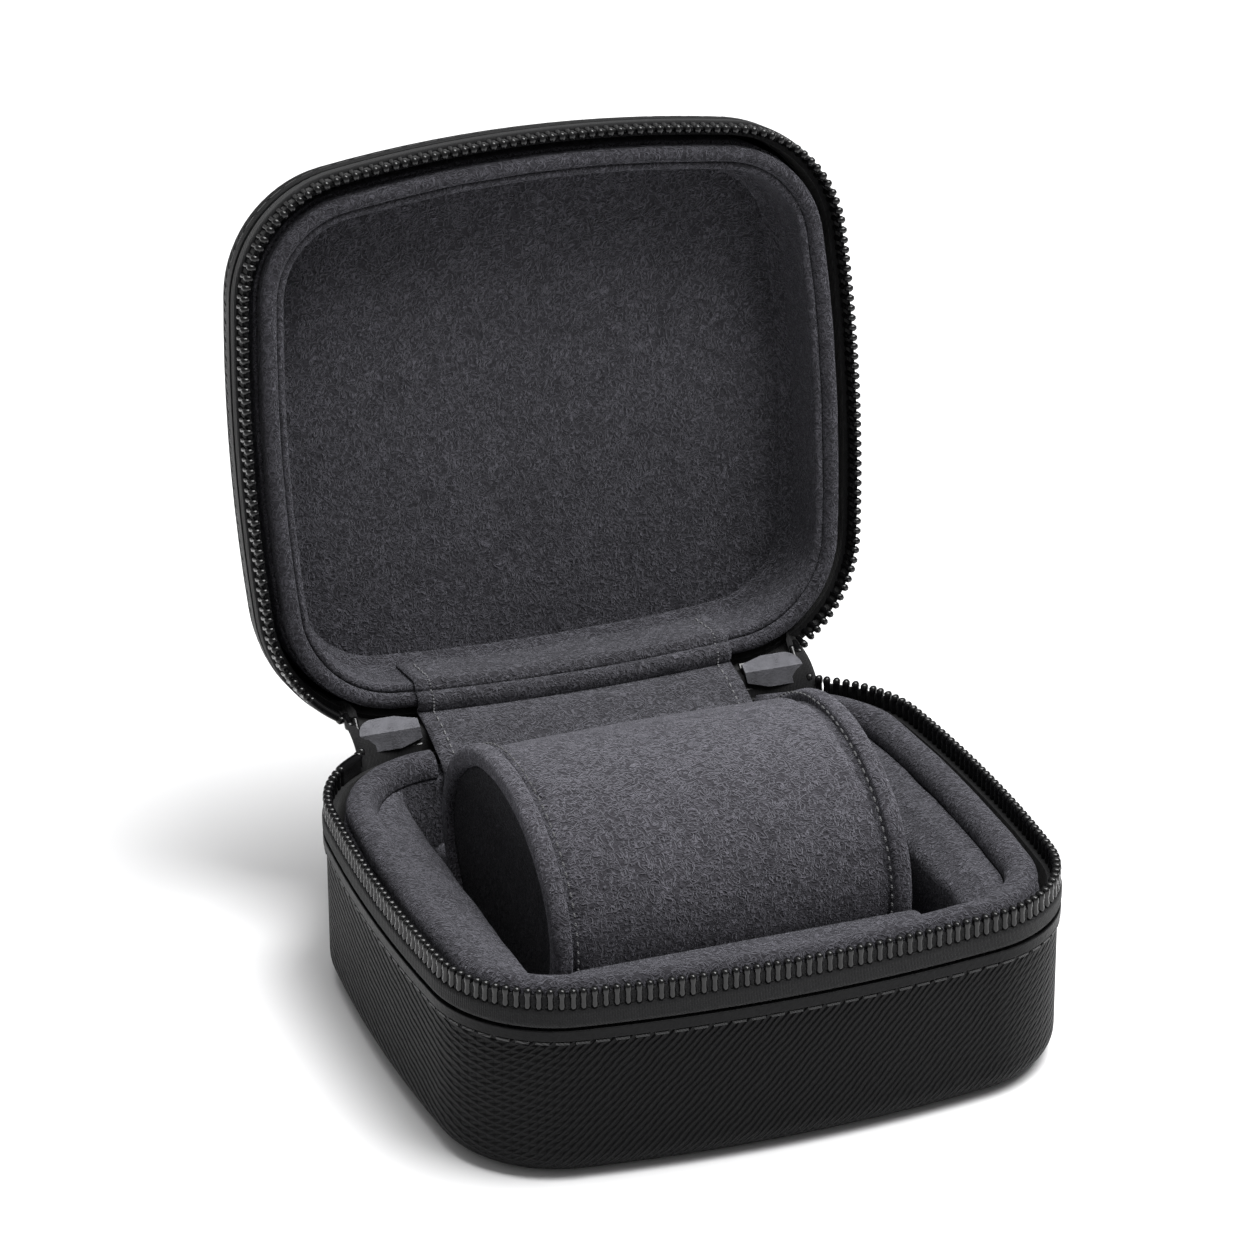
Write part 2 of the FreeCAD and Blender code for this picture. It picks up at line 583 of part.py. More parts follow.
# ---------------------------------------------------------------- hinge strips

def back_point(half, offset, depth):
    """A point of the YZ plane at the middle of the back, where it stands at rest."""
    point = Vector(0, size("ring_depth") / 2 + value(OUT[half]) + offset, value(level(half, str(depth))))
    return SWING[half].multVec(point)


def bent_strip(name, path, thick, wide):
    """A strip of even thickness that follows a smooth path in the YZ plane."""
    spine = Part.BSplineCurve()
    spine.interpolate(path)
    reach = spine.LastParameter - spine.FirstParameter
    faces = ([], [])
    for i in range(STRIP_STATIONS + 1):
        place = spine.FirstParameter + reach * i / STRIP_STATIONS
        along = spine.tangent(place)[0]
        normal = Vector(0, -along.z, along.y) * (thick / 2)
        start = spine.value(place) - Vector(wide / 2, 0, 0)
        faces[0].append(start + normal)
        faces[1].append(start - normal)
    edges = []
    for points in faces:
        curve = Part.BSplineCurve()
        curve.interpolate(points)
        edges.append(curve.toShape())
    edges += [Part.makeLine(faces[0][i], faces[1][i]) for i in (0, -1)]
    face = Part.Face(Part.Wire(Part.__sortEdges__(edges)))
    return node(name, drawn(name, face.extrude(Vector(wide, 0, 0))))


STRIP_STATIONS = 24


def hinge_strips():
    """Suede strip inside and leather strip outside that join the halves across the back."""
    clear, thick, outer_thick = (size(name) for name in
                                 ("strip_clearance", "strip_thick", "outer_strip_thick"))
    bow = size("strip_wide") ** 2 / 8 / size("back_bow")
    inner = {half: value(INSIDE[half]) - bow - clear - thick / 2 for half in OUT}
    top = value("sizes.roll_low + sizes.pad_gap") - thick
    path = [back_point("base", inner["base"], size("strip_low_depth")),
            back_point("base", inner["base"], size("strip_low_depth") / 2 + top / 2),
            back_point("base", inner["base"] + thick / 2, top),
            back_point("base", -size("base_roll_start"), 0),
            back_point("lid", -size("lid_roll_start") - size("lid_roll_wide"), 0),
            back_point("lid", inner["lid"], top - thick),
            back_point("lid", inner["lid"], size("strip_lid_depth"))]
    bent_strip("hinge_strip_inner", path, thick, size("strip_wide"))
    outer = value("sizes.leather_proud + sizes.binding_thick + sizes.layer_gap") + clear + outer_thick / 2
    path = [back_point("base", outer, size("outer_strip_low_depth")),
            back_point("base", outer, size("leather_edge_depth")),
            back_point("base", outer + outer_thick, size("tape_top_depth") + outer_thick),
            back_point("lid", outer + outer_thick, size("tape_top_depth") - outer_thick),
            back_point("lid", outer, size("leather_edge_depth")),
            back_point("lid", outer, size("outer_strip_lid_depth"))]
    bent_strip("hinge_strip_outer", path, outer_thick, size("outer_strip_wide"))


# ---------------------------------------------------------------- sliders, links and pulls

SLIDER_ACROSS = value("sizes.strip_wide / 2 + sizes.slider_gap + sizes.slider_long / 2")
CHAIN_BACK = value("sizes.ring_depth / 2 - sizes.chain_inset")
CHAIN_UP = value("sizes.rim_height + sizes.closing_gap / 2")
FOLD_BACK = value("sizes.ring_depth / 2 - sizes.fold_inset")
FOLD_UP = value("sizes.rim_height - sizes.fold_drop")
HALF_OPEN = turned(size("open_angle") / 2, FOLD_BACK, FOLD_UP)


def chain_end(side, sign):
    """Closed stretch of chain that the slider grips: two tape edges and their locked teeth."""
    near = SLIDER_ACROSS - size("slider_long") / 2
    far = SLIDER_ACROSS + size("slider_long") / 2 - size("neck_long") - size("chain_clearance")
    half_thick = size("plate_spread") - size("chain_clearance")
    half_tall = size("outer_plate_half_tall")
    corner = Vector(sign * near if sign > 0 else -far, CHAIN_BACK - half_thick / 2, CHAIN_UP - half_tall)
    solid = Part.makeBox(far - near, half_thick, 2 * half_tall, corner)
    count = int((far - near) / size("tooth_pitch"))
    for i in range(count):
        start = near + (i + 0.5) * (far - near) / count - size("tooth_wide") / 2
        low = Vector(start if sign > 0 else -start - size("tooth_wide"), CHAIN_BACK - half_thick,
                     CHAIN_UP - size("neck_half_tall"))
        solid = solid.fuse(Part.makeBox(size("tooth_wide"), 2 * half_thick, 2 * size("neck_half_tall"), low))
    node(f"zip_chain_end_{side}", drawn(f"zip_chain_end_{side}", solid.removeSplitter()), HALF_OPEN)


def slider_plate(name, sign, spread, half_tall, ridge):
    """A plate, wide and rounded where the teeth enter, narrow and square behind."""
    half_long, nose = size("slider_long") / 2, size("plate_nose")
    tail, shoulder = size("plate_tail_half_tall"), -size("slider_long") / 2 + size("plate_shoulder")
    thick, outwards = size("plate_thick"), math.copysign(1, spread)

    def at(along, up, across=0.0):
        return Vector(sign * (SLIDER_ACROSS + along), CHAIN_BACK + across, CHAIN_UP + up)

    corners = [at(half_long - nose, -half_tall), at(shoulder, -half_tall), at(-half_long, -tail),
               at(-half_long, tail), at(shoulder, half_tall), at(half_long - nose, half_tall)]
    edges = [Part.makeLine(a, b) for a, b in zip(corners, corners[1:])]
    edges.append(Part.Arc(corners[-1], at(half_long, 0), corners[0]).toShape())
    plan = Part.Face(Part.Wire(edges))
    plan.translate(Vector(0, spread, 0))
    solid = plan.extrude(Vector(0, outwards * (thick + ridge), 0))
    if ridge:
        section = [at(-half_long, up, spread + outwards * across) for up, across in
                   ((-half_tall, 0), (-half_tall, thick - ridge), (0, thick + ridge),
                    (half_tall, thick - ridge), (half_tall, 0))]
        roof = Part.Face(Part.makePolygon(section + section[:1])).extrude(
            Vector(sign * size("slider_long"), 0, 0))
        solid = solid.common(roof)
    return node(name, drawn(name, solid), HALF_OPEN)


def slider(side, sign):
    """Two plates, the neck that joins them and the crown that carries the link."""
    spread, thick = size("plate_spread"), size("plate_thick")
    slider_plate(f"slider_{side}_inner_plate", sign, -spread, size("inner_plate_half_tall"),
                 size("plate_ridge"))
    slider_plate(f"slider_{side}_outer_plate", sign, spread, size("outer_plate_half_tall"), 0)
    neck_end = SLIDER_ACROSS + size("slider_long") / 2 - size("chain_clearance")
    neck_start = neck_end - size("neck_long") + size("chain_clearance")
    neck = Part.makeBox(neck_end - neck_start, 2 * spread, 2 * size("neck_half_tall"),
                        Vector(neck_start if sign > 0 else -neck_end, CHAIN_BACK - spread,
                               CHAIN_UP - size("neck_half_tall")))
    node(f"slider_{side}_neck", drawn(f"slider_{side}_neck", neck), HALF_OPEN)
    reach, radius, half_long = size("crown_reach"), size("crown_radius"), size("crown_half_long")
    centre = Vector(sign * SLIDER_ACROSS, CHAIN_BACK + reach, CHAIN_UP)
    crown = Part.makeCylinder(radius, 2 * half_long, centre - Vector(half_long, 0, 0), Vector(1, 0, 0))
    foot = spread + thick
    for start in (-half_long, half_long - size("lug_thick")):
        lug = Part.makeBox(size("lug_thick"), reach - foot, 2 * radius,
                           centre + Vector(start, foot - reach, -radius))
        crown = crown.fuse(lug)
    node(f"slider_{side}_crown", drawn(f"slider_{side}_crown", crown.removeSplitter()), HALF_OPEN)


def slot_ring(radius, drop, thick, centre):
    """An oblong slab in the YZ plane with round ends, hanging from its upper end's centre."""
    corner = Vector(-thick / 2, 0, 0) + centre
    top = Part.makeCylinder(radius, thick, corner, Vector(1, 0, 0))
    bottom = Part.makeCylinder(radius, thick, corner - Vector(0, 0, drop), Vector(1, 0, 0))
    middle = Part.makeBox(thick, 2 * radius, drop, corner - Vector(0, radius, drop))
    return top.fuse([bottom, middle]).removeSplitter()


def link_and_pull(side, sign):
    """Oblong link on the crown's bar, and the tab that hangs from it."""
    bar = HALF_OPEN.multVec(Vector(sign * SLIDER_ACROSS, CHAIN_BACK + size("crown_reach"), CHAIN_UP))
    hole, wall = size("crown_radius") + size("link_clearance"), size("link_wall")
    thick, drop = size("link_thick"), size("link_drop")
    ring = slot_ring(hole + wall, drop, thick, bar).cut(slot_ring(hole, drop, 2 * thick, bar))
    node(f"link_{side}", drawn(f"link_{side}", ring))
    eye = bar - Vector(0, 0, drop + hole + wall / 2)
    half_wide, deep = size("pull_wide") / 2, size("pull_thick")
    top = size("eye_radius") + size("eye_wall")
    foot = top - size("pull_long")
    corners = [Vector(eye.x + x, eye.y - deep / 2, eye.z + z) for x, z in
               ((-half_wide, 0), (-half_wide, foot + half_wide), (half_wide, foot + half_wide),
                (half_wide, 0))]
    crest = Vector(eye.x, eye.y - deep / 2, eye.z + top)
    tip = Vector(eye.x, eye.y - deep / 2, eye.z + foot)
    edges = [Part.makeLine(corners[0], corners[1]), Part.Arc(corners[1], tip, corners[2]).toShape(),
             Part.makeLine(corners[2], corners[3]), Part.Arc(corners[3], crest, corners[0]).toShape()]
    tab = Part.Face(Part.Wire(edges)).extrude(Vector(0, deep, 0))
    hole_cut = Part.makeCylinder(size("eye_radius"), 2 * deep, eye - Vector(0, deep, 0), Vector(0, 1, 0))
    node(f"pull_{side}", drawn(f"pull_{side}", tab.cut(hole_cut)))


# ---------------------------------------------------------------- the whole case

for half in ("base", "lid"):
    leather(half, f"sizes.{half}_round")
    board(half, f"sizes.{half}_round")
    binding(half)
    binding_stitches(half)
    zip_half(half)
    rim_roll(half)
base_padding()
lid_padding()
bolsters()
cradles()
cushion()
hinge_strips()
for side, sign in (("left", -1), ("right", 1)):
    chain_end(side, sign)
    slider(side, sign)
    link_and_pull(side, sign)

doc.recompute()
failed = [piece.Name for piece in doc.Objects if {"Invalid", "Error"} & set(piece.State)]
failed += [name for name, piece in NODES.items() if piece.Shape.isNull() or not piece.Shape.isValid()]
if failed:
    raise RuntimeError("these objects failed: " + ", ".join(failed))
os.makedirs("parts", exist_ok=True)
for name, piece in NODES.items():
    piece.Shape.exportStep(f"parts/{name}.step")
print(len(NODES), "sub-parts written")
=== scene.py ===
import math

import bpy
import numpy as np
from mathutils import Matrix, Vector, noise


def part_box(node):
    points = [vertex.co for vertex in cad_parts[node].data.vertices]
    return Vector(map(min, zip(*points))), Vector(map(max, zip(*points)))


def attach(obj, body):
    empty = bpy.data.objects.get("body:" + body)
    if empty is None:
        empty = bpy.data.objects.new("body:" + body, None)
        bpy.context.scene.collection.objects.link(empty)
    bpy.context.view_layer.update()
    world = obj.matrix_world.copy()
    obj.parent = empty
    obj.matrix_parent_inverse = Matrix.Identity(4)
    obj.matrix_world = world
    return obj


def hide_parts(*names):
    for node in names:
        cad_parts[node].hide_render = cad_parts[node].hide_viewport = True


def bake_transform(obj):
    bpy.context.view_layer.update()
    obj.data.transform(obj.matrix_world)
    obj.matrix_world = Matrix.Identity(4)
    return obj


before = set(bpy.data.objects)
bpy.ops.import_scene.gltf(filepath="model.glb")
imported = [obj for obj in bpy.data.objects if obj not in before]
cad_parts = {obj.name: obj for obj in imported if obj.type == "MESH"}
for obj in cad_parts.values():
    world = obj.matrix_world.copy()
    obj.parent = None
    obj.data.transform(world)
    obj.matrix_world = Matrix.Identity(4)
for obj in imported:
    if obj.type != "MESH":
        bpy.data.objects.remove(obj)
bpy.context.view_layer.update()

# An open zip-around watch case.  Lengths are written in millimetres and turned to metres
# by MM.  Layers follow one plan outline, the ring of the zip teeth: a layer has an offset
# from the ring, positive outwards, and a depth from the rim of its half.

MM = 0.001

RING_WIDTH, RING_DEPTH = 110.0, 100.0
FRONT_CORNER, BACK_CORNER = 21.0, 23.0
FRONT_BOW, BACK_BOW, SIDE_BOW = 240.0, 440.0, 330.0
RIM, GAP, OVERHANG = 34.8, 0.3, 1.0
HINGE = Vector((0, 51.0, 33.1))
OPEN = math.radians(98.5)
OUT = {"base": 0.0, "lid": OVERHANG}
SIDES = (("left", -1), ("right", 1))
LID_OPEN = Matrix.Translation(HINGE) @ Matrix.Rotation(-OPEN, 4, "X") @ Matrix.Translation(-HINGE)
SWING = {"base": Matrix.Identity(4), "lid": LID_OPEN}


# ---------------------------------------------------------------- the plan outline

def outline_arcs():
    """Centre, radius, first and last angle of the eight arcs, anticlockwise from mid back."""
    def join(first, first_radius, second, second_radius, corner, side):
        reach = second - first
        a, b = first_radius - corner, second_radius - corner
        along = (a * a - b * b + reach.length_squared) / (2 * reach.length)
        aside = math.sqrt(a * a - along * along)
        unit = reach.normalized()
        return first + unit * along + Vector((-unit.y, unit.x)) * aside * side

    def bearing(centre, point):
        return math.atan2(point.y - centre.y, point.x - centre.x)

    front = Vector((0, FRONT_BOW - RING_DEPTH / 2))
    back = Vector((0, RING_DEPTH / 2 - BACK_BOW))
    right = Vector((RING_WIDTH / 2 - SIDE_BOW, 0))
    near = join(front, FRONT_BOW, right, SIDE_BOW, FRONT_CORNER, 1)
    far = join(back, BACK_BOW, right, SIDE_BOW, BACK_CORNER, -1)
    left, near_left, far_left = (Vector((-p.x, p.y)) for p in (right, near, far))
    a, b = bearing(front, near), bearing(right, near)
    c, d = bearing(right, far), bearing(back, far)
    pi = math.pi
    return [(back, BACK_BOW, pi / 2, pi - d), (far_left, BACK_CORNER, pi - d, pi - c),
            (left, SIDE_BOW, pi - c, pi - b), (near_left, FRONT_CORNER, pi - b, pi - a),
            (front, FRONT_BOW, -pi - a, a), (near, FRONT_CORNER, a, b),
            (right, SIDE_BOW, b, c), (far, BACK_CORNER, c, d), (back, BACK_BOW, d, pi / 2)]


ARCS = outline_arcs()


def stations(spacing):
    """Places round the ring from mid back to mid back: centre, radius and direction."""
    places = []
    for centre, radius, start, end in ARCS:
        count = max(2, round(abs(end - start) * radius / spacing))
        for i in range(count):
            angle = start + (end - start) * i / count
            places.append((centre, radius, Vector((math.cos(angle), math.sin(angle)))))
    return places


def height_at(half, depth):
    """Height of a layer above the floor, as both halves stand when the case is closed."""
    return RIM - depth if half == "base" else RIM + GAP + depth


def rimwards(half):
    """Direction from the inside of a half out through its rim, at rest."""
    return SWING[half].to_3x3() @ Vector((0, 0, 1 if half == "base" else -1))


def spot(half, place, offset, depth):
    """A point of a half, given at a place round the ring, as it stands at rest."""
    centre, radius, direction = place
    plan = centre + direction * (radius + OUT[half] + offset)
    return SWING[half] @ Vector((plan.x, plan.y, height_at(half, depth)))


def node_box(name):
    """Lowest and highest corner of a CAD node, in millimetres."""
    return [np.array(corner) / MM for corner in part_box(name)]


def ripple(point, size, amount):
    """Small smooth unevenness of a hand-made soft piece."""
    return noise.noise(point / size) * amount


# ---------------------------------------------------------------- meshes

def rounded(corners, steps=5):
    """A closed loop through corners (a, b, radius), each turned by an arc."""
    loop = []
    count = len(corners)
    for i, (a, b, radius) in enumerate(corners):
        here = Vector((a, b))
        before = (Vector(corners[i - 1][:2]) - here).normalized()
        after = (Vector(corners[(i + 1) % count][:2]) - here).normalized()
        if radius <= 0:
            loop.append(here)
            continue
        half = math.acos(max(-1, min(1, before.dot(after)))) / 2
        reach = radius / math.tan(half)
        middle = here + (before + after).normalized() * (radius / math.sin(half))
        start, end = here + before * reach - middle, here + after * reach - middle
        sweep = math.atan2(start.x * end.y - start.y * end.x, start.dot(end))
        for step in range(steps + 1):
            loop.append(middle + Matrix.Rotation(sweep * step / steps, 2) @ start)
    return loop


def divided(loop, most):
    """The loop with points added so that no run is longer than most."""
    points = []
    for here, after in zip(loop, loop[1:] + loop[:1]):
        count = max(1, math.ceil((after - here).length / most))
        points += [here.lerp(after, i / count) for i in range(count)]
    return points


def mesh_object(name, points, faces, material, smooth=True):
    """A piece made from points in millimetres, with its faces turned outwards."""
    mesh = bpy.data.meshes.new(name)
    mesh.from_pydata([tuple(p * MM) for p in points], [], faces)
    mesh.validate()
    mesh.update()
    piece = bpy.data.objects.new(name, mesh)
    bpy.context.scene.collection.objects.link(piece)
    piece.data.materials.append(material)
    if smooth:
        mesh.shade_smooth()
    outwards(piece)
    return piece


def outwards(piece):
    """Turns every face of a closed mesh to face out."""
    import bmesh
    work = bmesh.new()
    work.from_mesh(piece.data)
    bmesh.ops.recalc_face_normals(work, faces=work.faces)
    work.to_mesh(piece.data)
    work.free()


def tube_faces(rows, columns, closed):
    """Quads of a swept loop; open ends are capped."""
    faces = []
    for i in range(rows if closed else rows - 1):
        for j in range(columns):
            k, after = (j + 1) % columns, (i + 1) % rows
            faces.append((i * columns + j, i * columns + k, after * columns + k, after * columns + j))
    if not closed:
        faces.append(tuple(range(columns)))
        faces.append(tuple((rows - 1) * columns + j for j in range(columns)))
    return faces


def sheet_faces(columns, rows):
    """Faces of a closed thin sheet: upper grid, lower grid and the rim between them."""
    total = columns * rows
    faces = []
    for i in range(columns - 1):
        for j in range(rows - 1):
            a, b = i * rows + j, (i + 1) * rows + j
            faces.append((a, b, b + 1, a + 1))
            faces.append((total + a, total + a + 1, total + b + 1, total + b))
    rim = list(range(rows)) + [i * rows + rows - 1 for i in range(1, columns)]
    rim += [(columns - 1) * rows + j for j in range(rows - 2, -1, -1)]
    rim += [i * rows for i in range(columns - 2, 0, -1)]
    for a, b in zip(rim, rim[1:] + rim[:1]):
        faces.append((a, b, total + b, total + a))
    return faces


def round_ring(name, half, loop, material, spacing=1.6, gate=None, soft=0.12):
    """A profile of (offset, depth) swept round the outline, open at the back by a gate."""
    places = stations(spacing)
    if gate is not None:
        plans = [(place, spot("base", place, 0, 0)) for place in places]
        places = [place for place, plan in plans if abs(plan.x) > gate or plan.y < 0]
    points = []
    for place in places:
        for offset, depth in loop:
            point = spot(half, place, offset, depth)
            aside, sunk = ripple(point, 9, soft), ripple(-point, 7, soft)
            points.append(spot(half, place, offset + aside, depth + sunk))
    return mesh_object(name, points, tube_faces(len(places), len(loop), gate is None), material)


def crowned_plate(name, half, edge, near, far, crown, material, soft=0.15):
    """A pad that fills the outline at an offset: flat behind, crowned in front, soft edge."""
    places = stations(2.5)
    rings = [(1.0, far), (1.0, near + 0.35), (0.992, near + 0.08), (0.975, near)]
    rings += [(s, near - crown * (1 - (s / 0.975) ** 4)) for s in np.linspace(0.95, 0.04, 16)]
    points = []
    for share, depth in rings:
        for place in places:
            outer = spot(half, place, edge, depth)
            centre = SWING[half] @ Vector((0, 0, height_at(half, depth)))
            point = centre.lerp(outer, share)
            points.append(point + rimwards(half) * ripple(point, 14, soft) * (share < 0.99))
    return mesh_object(name, points, tube_faces(len(rings), len(places), False), material)


def catmull(points, per_run):
    """A smooth path through points."""
    padded = [points[0] * 2 - points[1]] + list(points) + [points[-1] * 2 - points[-2]]
    path = []
    for a, b, c, d in zip(padded, padded[1:], padded[2:], padded[3:]):
        for i in range(per_run):
            t = i / per_run
            path.append(0.5 * (2 * b + (c - a) * t + (2 * a - 5 * b + 4 * c - d) * t * t
                               + (3 * b - a - 3 * c + d) * t ** 3))
    path.append(points[-1])
    return path


BEAD = ((0.0, 0.35), (0.15, 0.85), (0.5, 1.0), (0.85, 0.85), (1.0, 0.35))


def dashes(name, runs, material, thick):
    """Short stitches: each run is (start, end, outward direction), drawn as a low bead."""
    sides = 6
    points, faces = [], []
    for start, end, up in runs:
        along = (end - start).normalized()
        side = along.cross(up).normalized()
        first = len(points)
        for t, size in BEAD:
            centre = start.lerp(end, t) + up * thick * (size - 0.75)
            for corner in range(sides):
                turn = corner * 2 * math.pi / sides
                points.append(centre + (side * math.cos(turn) + up * math.sin(turn)) * thick * size)
        for ring in range(first, first + sides * (len(BEAD) - 1), sides):
            for j in range(sides):
                k = (j + 1) % sides
                faces.append((ring + j, ring + k, ring + sides + k, ring + sides + j))
        last = first + sides * (len(BEAD) - 1)
        faces += [tuple(end + j for j in range(sides)) for end in (first, last)]
    return mesh_object(name, points, faces, material)


# ---------------------------------------------------------------- materials

class Shader:
    """A material's node tree with short ways to add and join nodes."""

    def __init__(self, name, **surface):
        self.material = bpy.data.materials.new(name)
        self.material.use_nodes = True
        self.tree = self.material.node_tree
        self.principled = self.tree.nodes["Principled BSDF"]
        for socket, amount in surface.items():
            self.principled.inputs[socket.replace("_", " ")].default_value = amount
        self.place = self.add("ShaderNodeTexCoord").outputs["Object"]

    def add(self, kind, settings=None, **inputs):
        """A node with its settings, and with its inputs set or joined by name, or i and number."""
        node = self.tree.nodes.new(kind)
        for key, amount in (settings or {}).items():
            setattr(node, key, amount)
        for key, amount in inputs.items():
            numbered = key[0] == "i" and key[1:].isdigit()
            socket = node.inputs[int(key[1:])] if numbered else node.inputs[key]
            if isinstance(amount, bpy.types.NodeSocket):
                self.tree.links.new(amount, socket)
            else:
                socket.default_value = amount
        return node

    def noise(self, size, detail=3.0, rough=0.6, warp=0.0):
        """Noise whose features are about a size in millimetres."""
        return self.add("ShaderNodeTexNoise", Vector=self.place, Scale=1000 / size, Detail=detail,
                        Roughness=rough, Distortion=warp).outputs["Fac"]

    def maths(self, operation, first, second=0.5):
        return self.add("ShaderNodeMath", {"operation": operation}, i0=first, i1=second).outputs[0]

    def ramp(self, factor, *stops):
        node = self.add("ShaderNodeValToRGB", Fac=factor)
        elements = node.color_ramp.elements
        while len(elements) < len(stops):
            elements.new(0.5)
        for element, (where, colour) in zip(elements, stops):
            element.position = where
            element.color = (*colour, 1)
        return node.outputs["Color"]

    def colour(self, socket):
        self.tree.links.new(socket, self.principled.inputs["Base Color"])

    def roughness(self, socket):
        self.tree.links.new(socket, self.principled.inputs["Roughness"])

    def bump(self, height, depth, strength=1.0):
        node = self.add("ShaderNodeBump", Height=height, Distance=depth * MM, Strength=strength)
        self.tree.links.new(node.outputs["Normal"], self.principled.inputs["Normal"])

    def split(self, vector):
        return self.add("ShaderNodeSeparateXYZ", Vector=vector).outputs


def shade(colour, amount):
    """A colour made lighter or darker."""
    return tuple(channel * amount for channel in colour)


def suede(name, colour, fibre=1.5, sheen=0.2):
    """Brushed microsuede: short curled light fibres over a mottled nap."""
    look = Shader(name, Roughness=0.95, Sheen_Weight=sheen, Sheen_Roughness=0.45,
                  Sheen_Tint=(0.8, 0.8, 0.9, 1), Specular_IOR_Level=0.15)
    curl, fine = look.noise(fibre, 2, 0.5, warp=1.6), look.noise(0.55, 2, 0.6)
    grain, patch = look.noise(2.6, 2), look.noise(20, 2)
    ridge = look.maths("MAXIMUM", 0.0, look.maths("SUBTRACT", 1.0, look.maths("MULTIPLY", look.maths(
        "ABSOLUTE", look.maths("SUBTRACT", curl, 0.5)), 11.0)))
    mix = look.maths("ADD", look.maths("MULTIPLY", ridge, 0.30), look.maths("MULTIPLY", fine, 0.55))
    mix = look.maths("ADD", mix, look.maths("MULTIPLY", grain, 0.25))
    mix = look.maths("ADD", mix, look.maths("MULTIPLY", patch, 0.20))
    look.colour(look.ramp(mix, (0.40, shade(colour, 0.5)), (0.54, shade(colour, 0.78)),
                          (0.68, shade(colour, 1.2)), (0.88, shade(colour, 2.6))))
    look.bump(look.maths("ADD", ridge, look.maths("ADD", fine, grain)), 0.45)
    return look.material


def leather_ribs(name):
    """Pressed leather: diagonal ribs that lean one way on each wall and cross at corners."""
    look = Shader(name, Roughness=0.5, Specular_IOR_Level=0.10)
    x, y, z = look.split(look.place)
    normal = look.split(look.add("ShaderNodeTexCoord").outputs["Normal"])
    warp = look.maths("MULTIPLY", look.noise(5.0, 2), 0.0011)

    def ribs(across, along, lean):
        run = look.maths("ADD", look.maths("MULTIPLY", along, lean), look.maths("ADD", across, warp))
        wave = look.maths("SINE", look.maths("MULTIPLY", run, 2 * math.pi / (RIB_PITCH * MM)))
        return look.maths("ADD", look.maths("MULTIPLY", wave, 0.5), 0.5)

    faces = [look.maths("ABSOLUTE", axis) for axis in normal]
    weights = [look.maths("SMOOTH_MIN", look.maths("MULTIPLY", face, 1.6), 1.0) for face in faces]
    front = look.maths("MULTIPLY", ribs(x, z, -0.95), weights[1])
    side = look.maths("MULTIPLY", ribs(look.maths("MULTIPLY", y, 0.3), z, -0.95), weights[0])
    flat = look.maths("MULTIPLY", look.maths("MAXIMUM", ribs(x, y, 1.0), ribs(x, y, -1.0)), weights[2])
    pattern = look.maths("MAXIMUM", look.maths("MAXIMUM", front, side), flat)
    pores = look.noise(0.35, 3, 0.7)
    look.colour(look.ramp(look.maths("ADD", look.maths("MULTIPLY", pattern, 0.7),
                                     look.maths("MULTIPLY", pores, 0.3)),
                          (0.15, (0.0016, 0.0016, 0.0018)), (0.85, (0.0095, 0.0096, 0.0102))))
    look.roughness(look.maths("ADD", look.maths("MULTIPLY", pores, 0.24), 0.40))
    look.bump(look.maths("ADD", pattern, look.maths("MULTIPLY", pores, 0.35)), 0.55)
    return look.material


def smooth_leather(name):
    """Turned and creased edge leather with fine grain."""
    look = Shader(name, Roughness=0.38, Specular_IOR_Level=0.12)
    grain = look.noise(0.7, 4, 0.7)
    look.colour(look.ramp(grain, (0.3, (0.0018, 0.0018, 0.002)), (0.7, (0.0075, 0.0076, 0.0082))))
    look.roughness(look.maths("ADD", look.maths("MULTIPLY", grain, 0.3), 0.28))
    look.bump(grain, 0.12)
    return look.material


def twill(name):
    """Woven zip tape: fine diagonal yarns."""
    look = Shader(name, Roughness=0.85, Sheen_Weight=0.12, Specular_IOR_Level=0.2)
    x, y, z = look.split(look.place)
    plan = look.maths("ADD", look.maths("ADD", x, y), look.maths("MULTIPLY", z, 1.3))
    across = look.maths("SUBTRACT", look.maths("SUBTRACT", x, y), z)
    yarn = look.maths("SINE", look.maths("MULTIPLY", plan, 2 * math.pi / (0.62 * MM)))
    pick = look.maths("SINE", look.maths("MULTIPLY", across, 2 * math.pi / (0.45 * MM)))
    weave = look.maths("ADD", look.maths("MULTIPLY", look.maths("MULTIPLY", yarn, pick), 0.25),
                       look.maths("MULTIPLY", look.noise(0.4), 0.8))
    look.colour(look.ramp(weave, (0.2, (0.002, 0.002, 0.0023)), (0.75, (0.011, 0.011, 0.0122))))
    look.bump(weave, 0.18)
    return look.material


def moulded(name, colour, rough, metallic=0.0, wear=0.2, gloss=0.6):
    """Glossy moulded or plated surface with faint scuffs."""
    look = Shader(name, Metallic=metallic, Specular_IOR_Level=gloss)
    scuff, fine = look.noise(2.2, 5, 0.7), look.noise(0.3, 2)
    look.colour(look.ramp(scuff, (0.3, shade(colour, 1 - wear)), (0.75, shade(colour, 1 + wear))))
    look.roughness(look.maths("ADD", look.maths("MULTIPLY", scuff, 0.22), rough))
    look.bump(fine, 0.02)
    return look.material


def thread(name, colour):
    """Twisted sewing thread."""
    look = Shader(name, Roughness=0.7, Sheen_Weight=0.2)
    x, y, z = look.split(look.place)
    twist = look.maths("SINE", look.maths("MULTIPLY", look.maths("ADD", look.maths("ADD", x, y), z),
                                          2 * math.pi / (0.5 * MM)))
    look.colour(look.ramp(twist, (0.2, shade(colour, 0.6)), (0.8, shade(colour, 1.3))))
    look.bump(twist, 0.06)
    return look.material


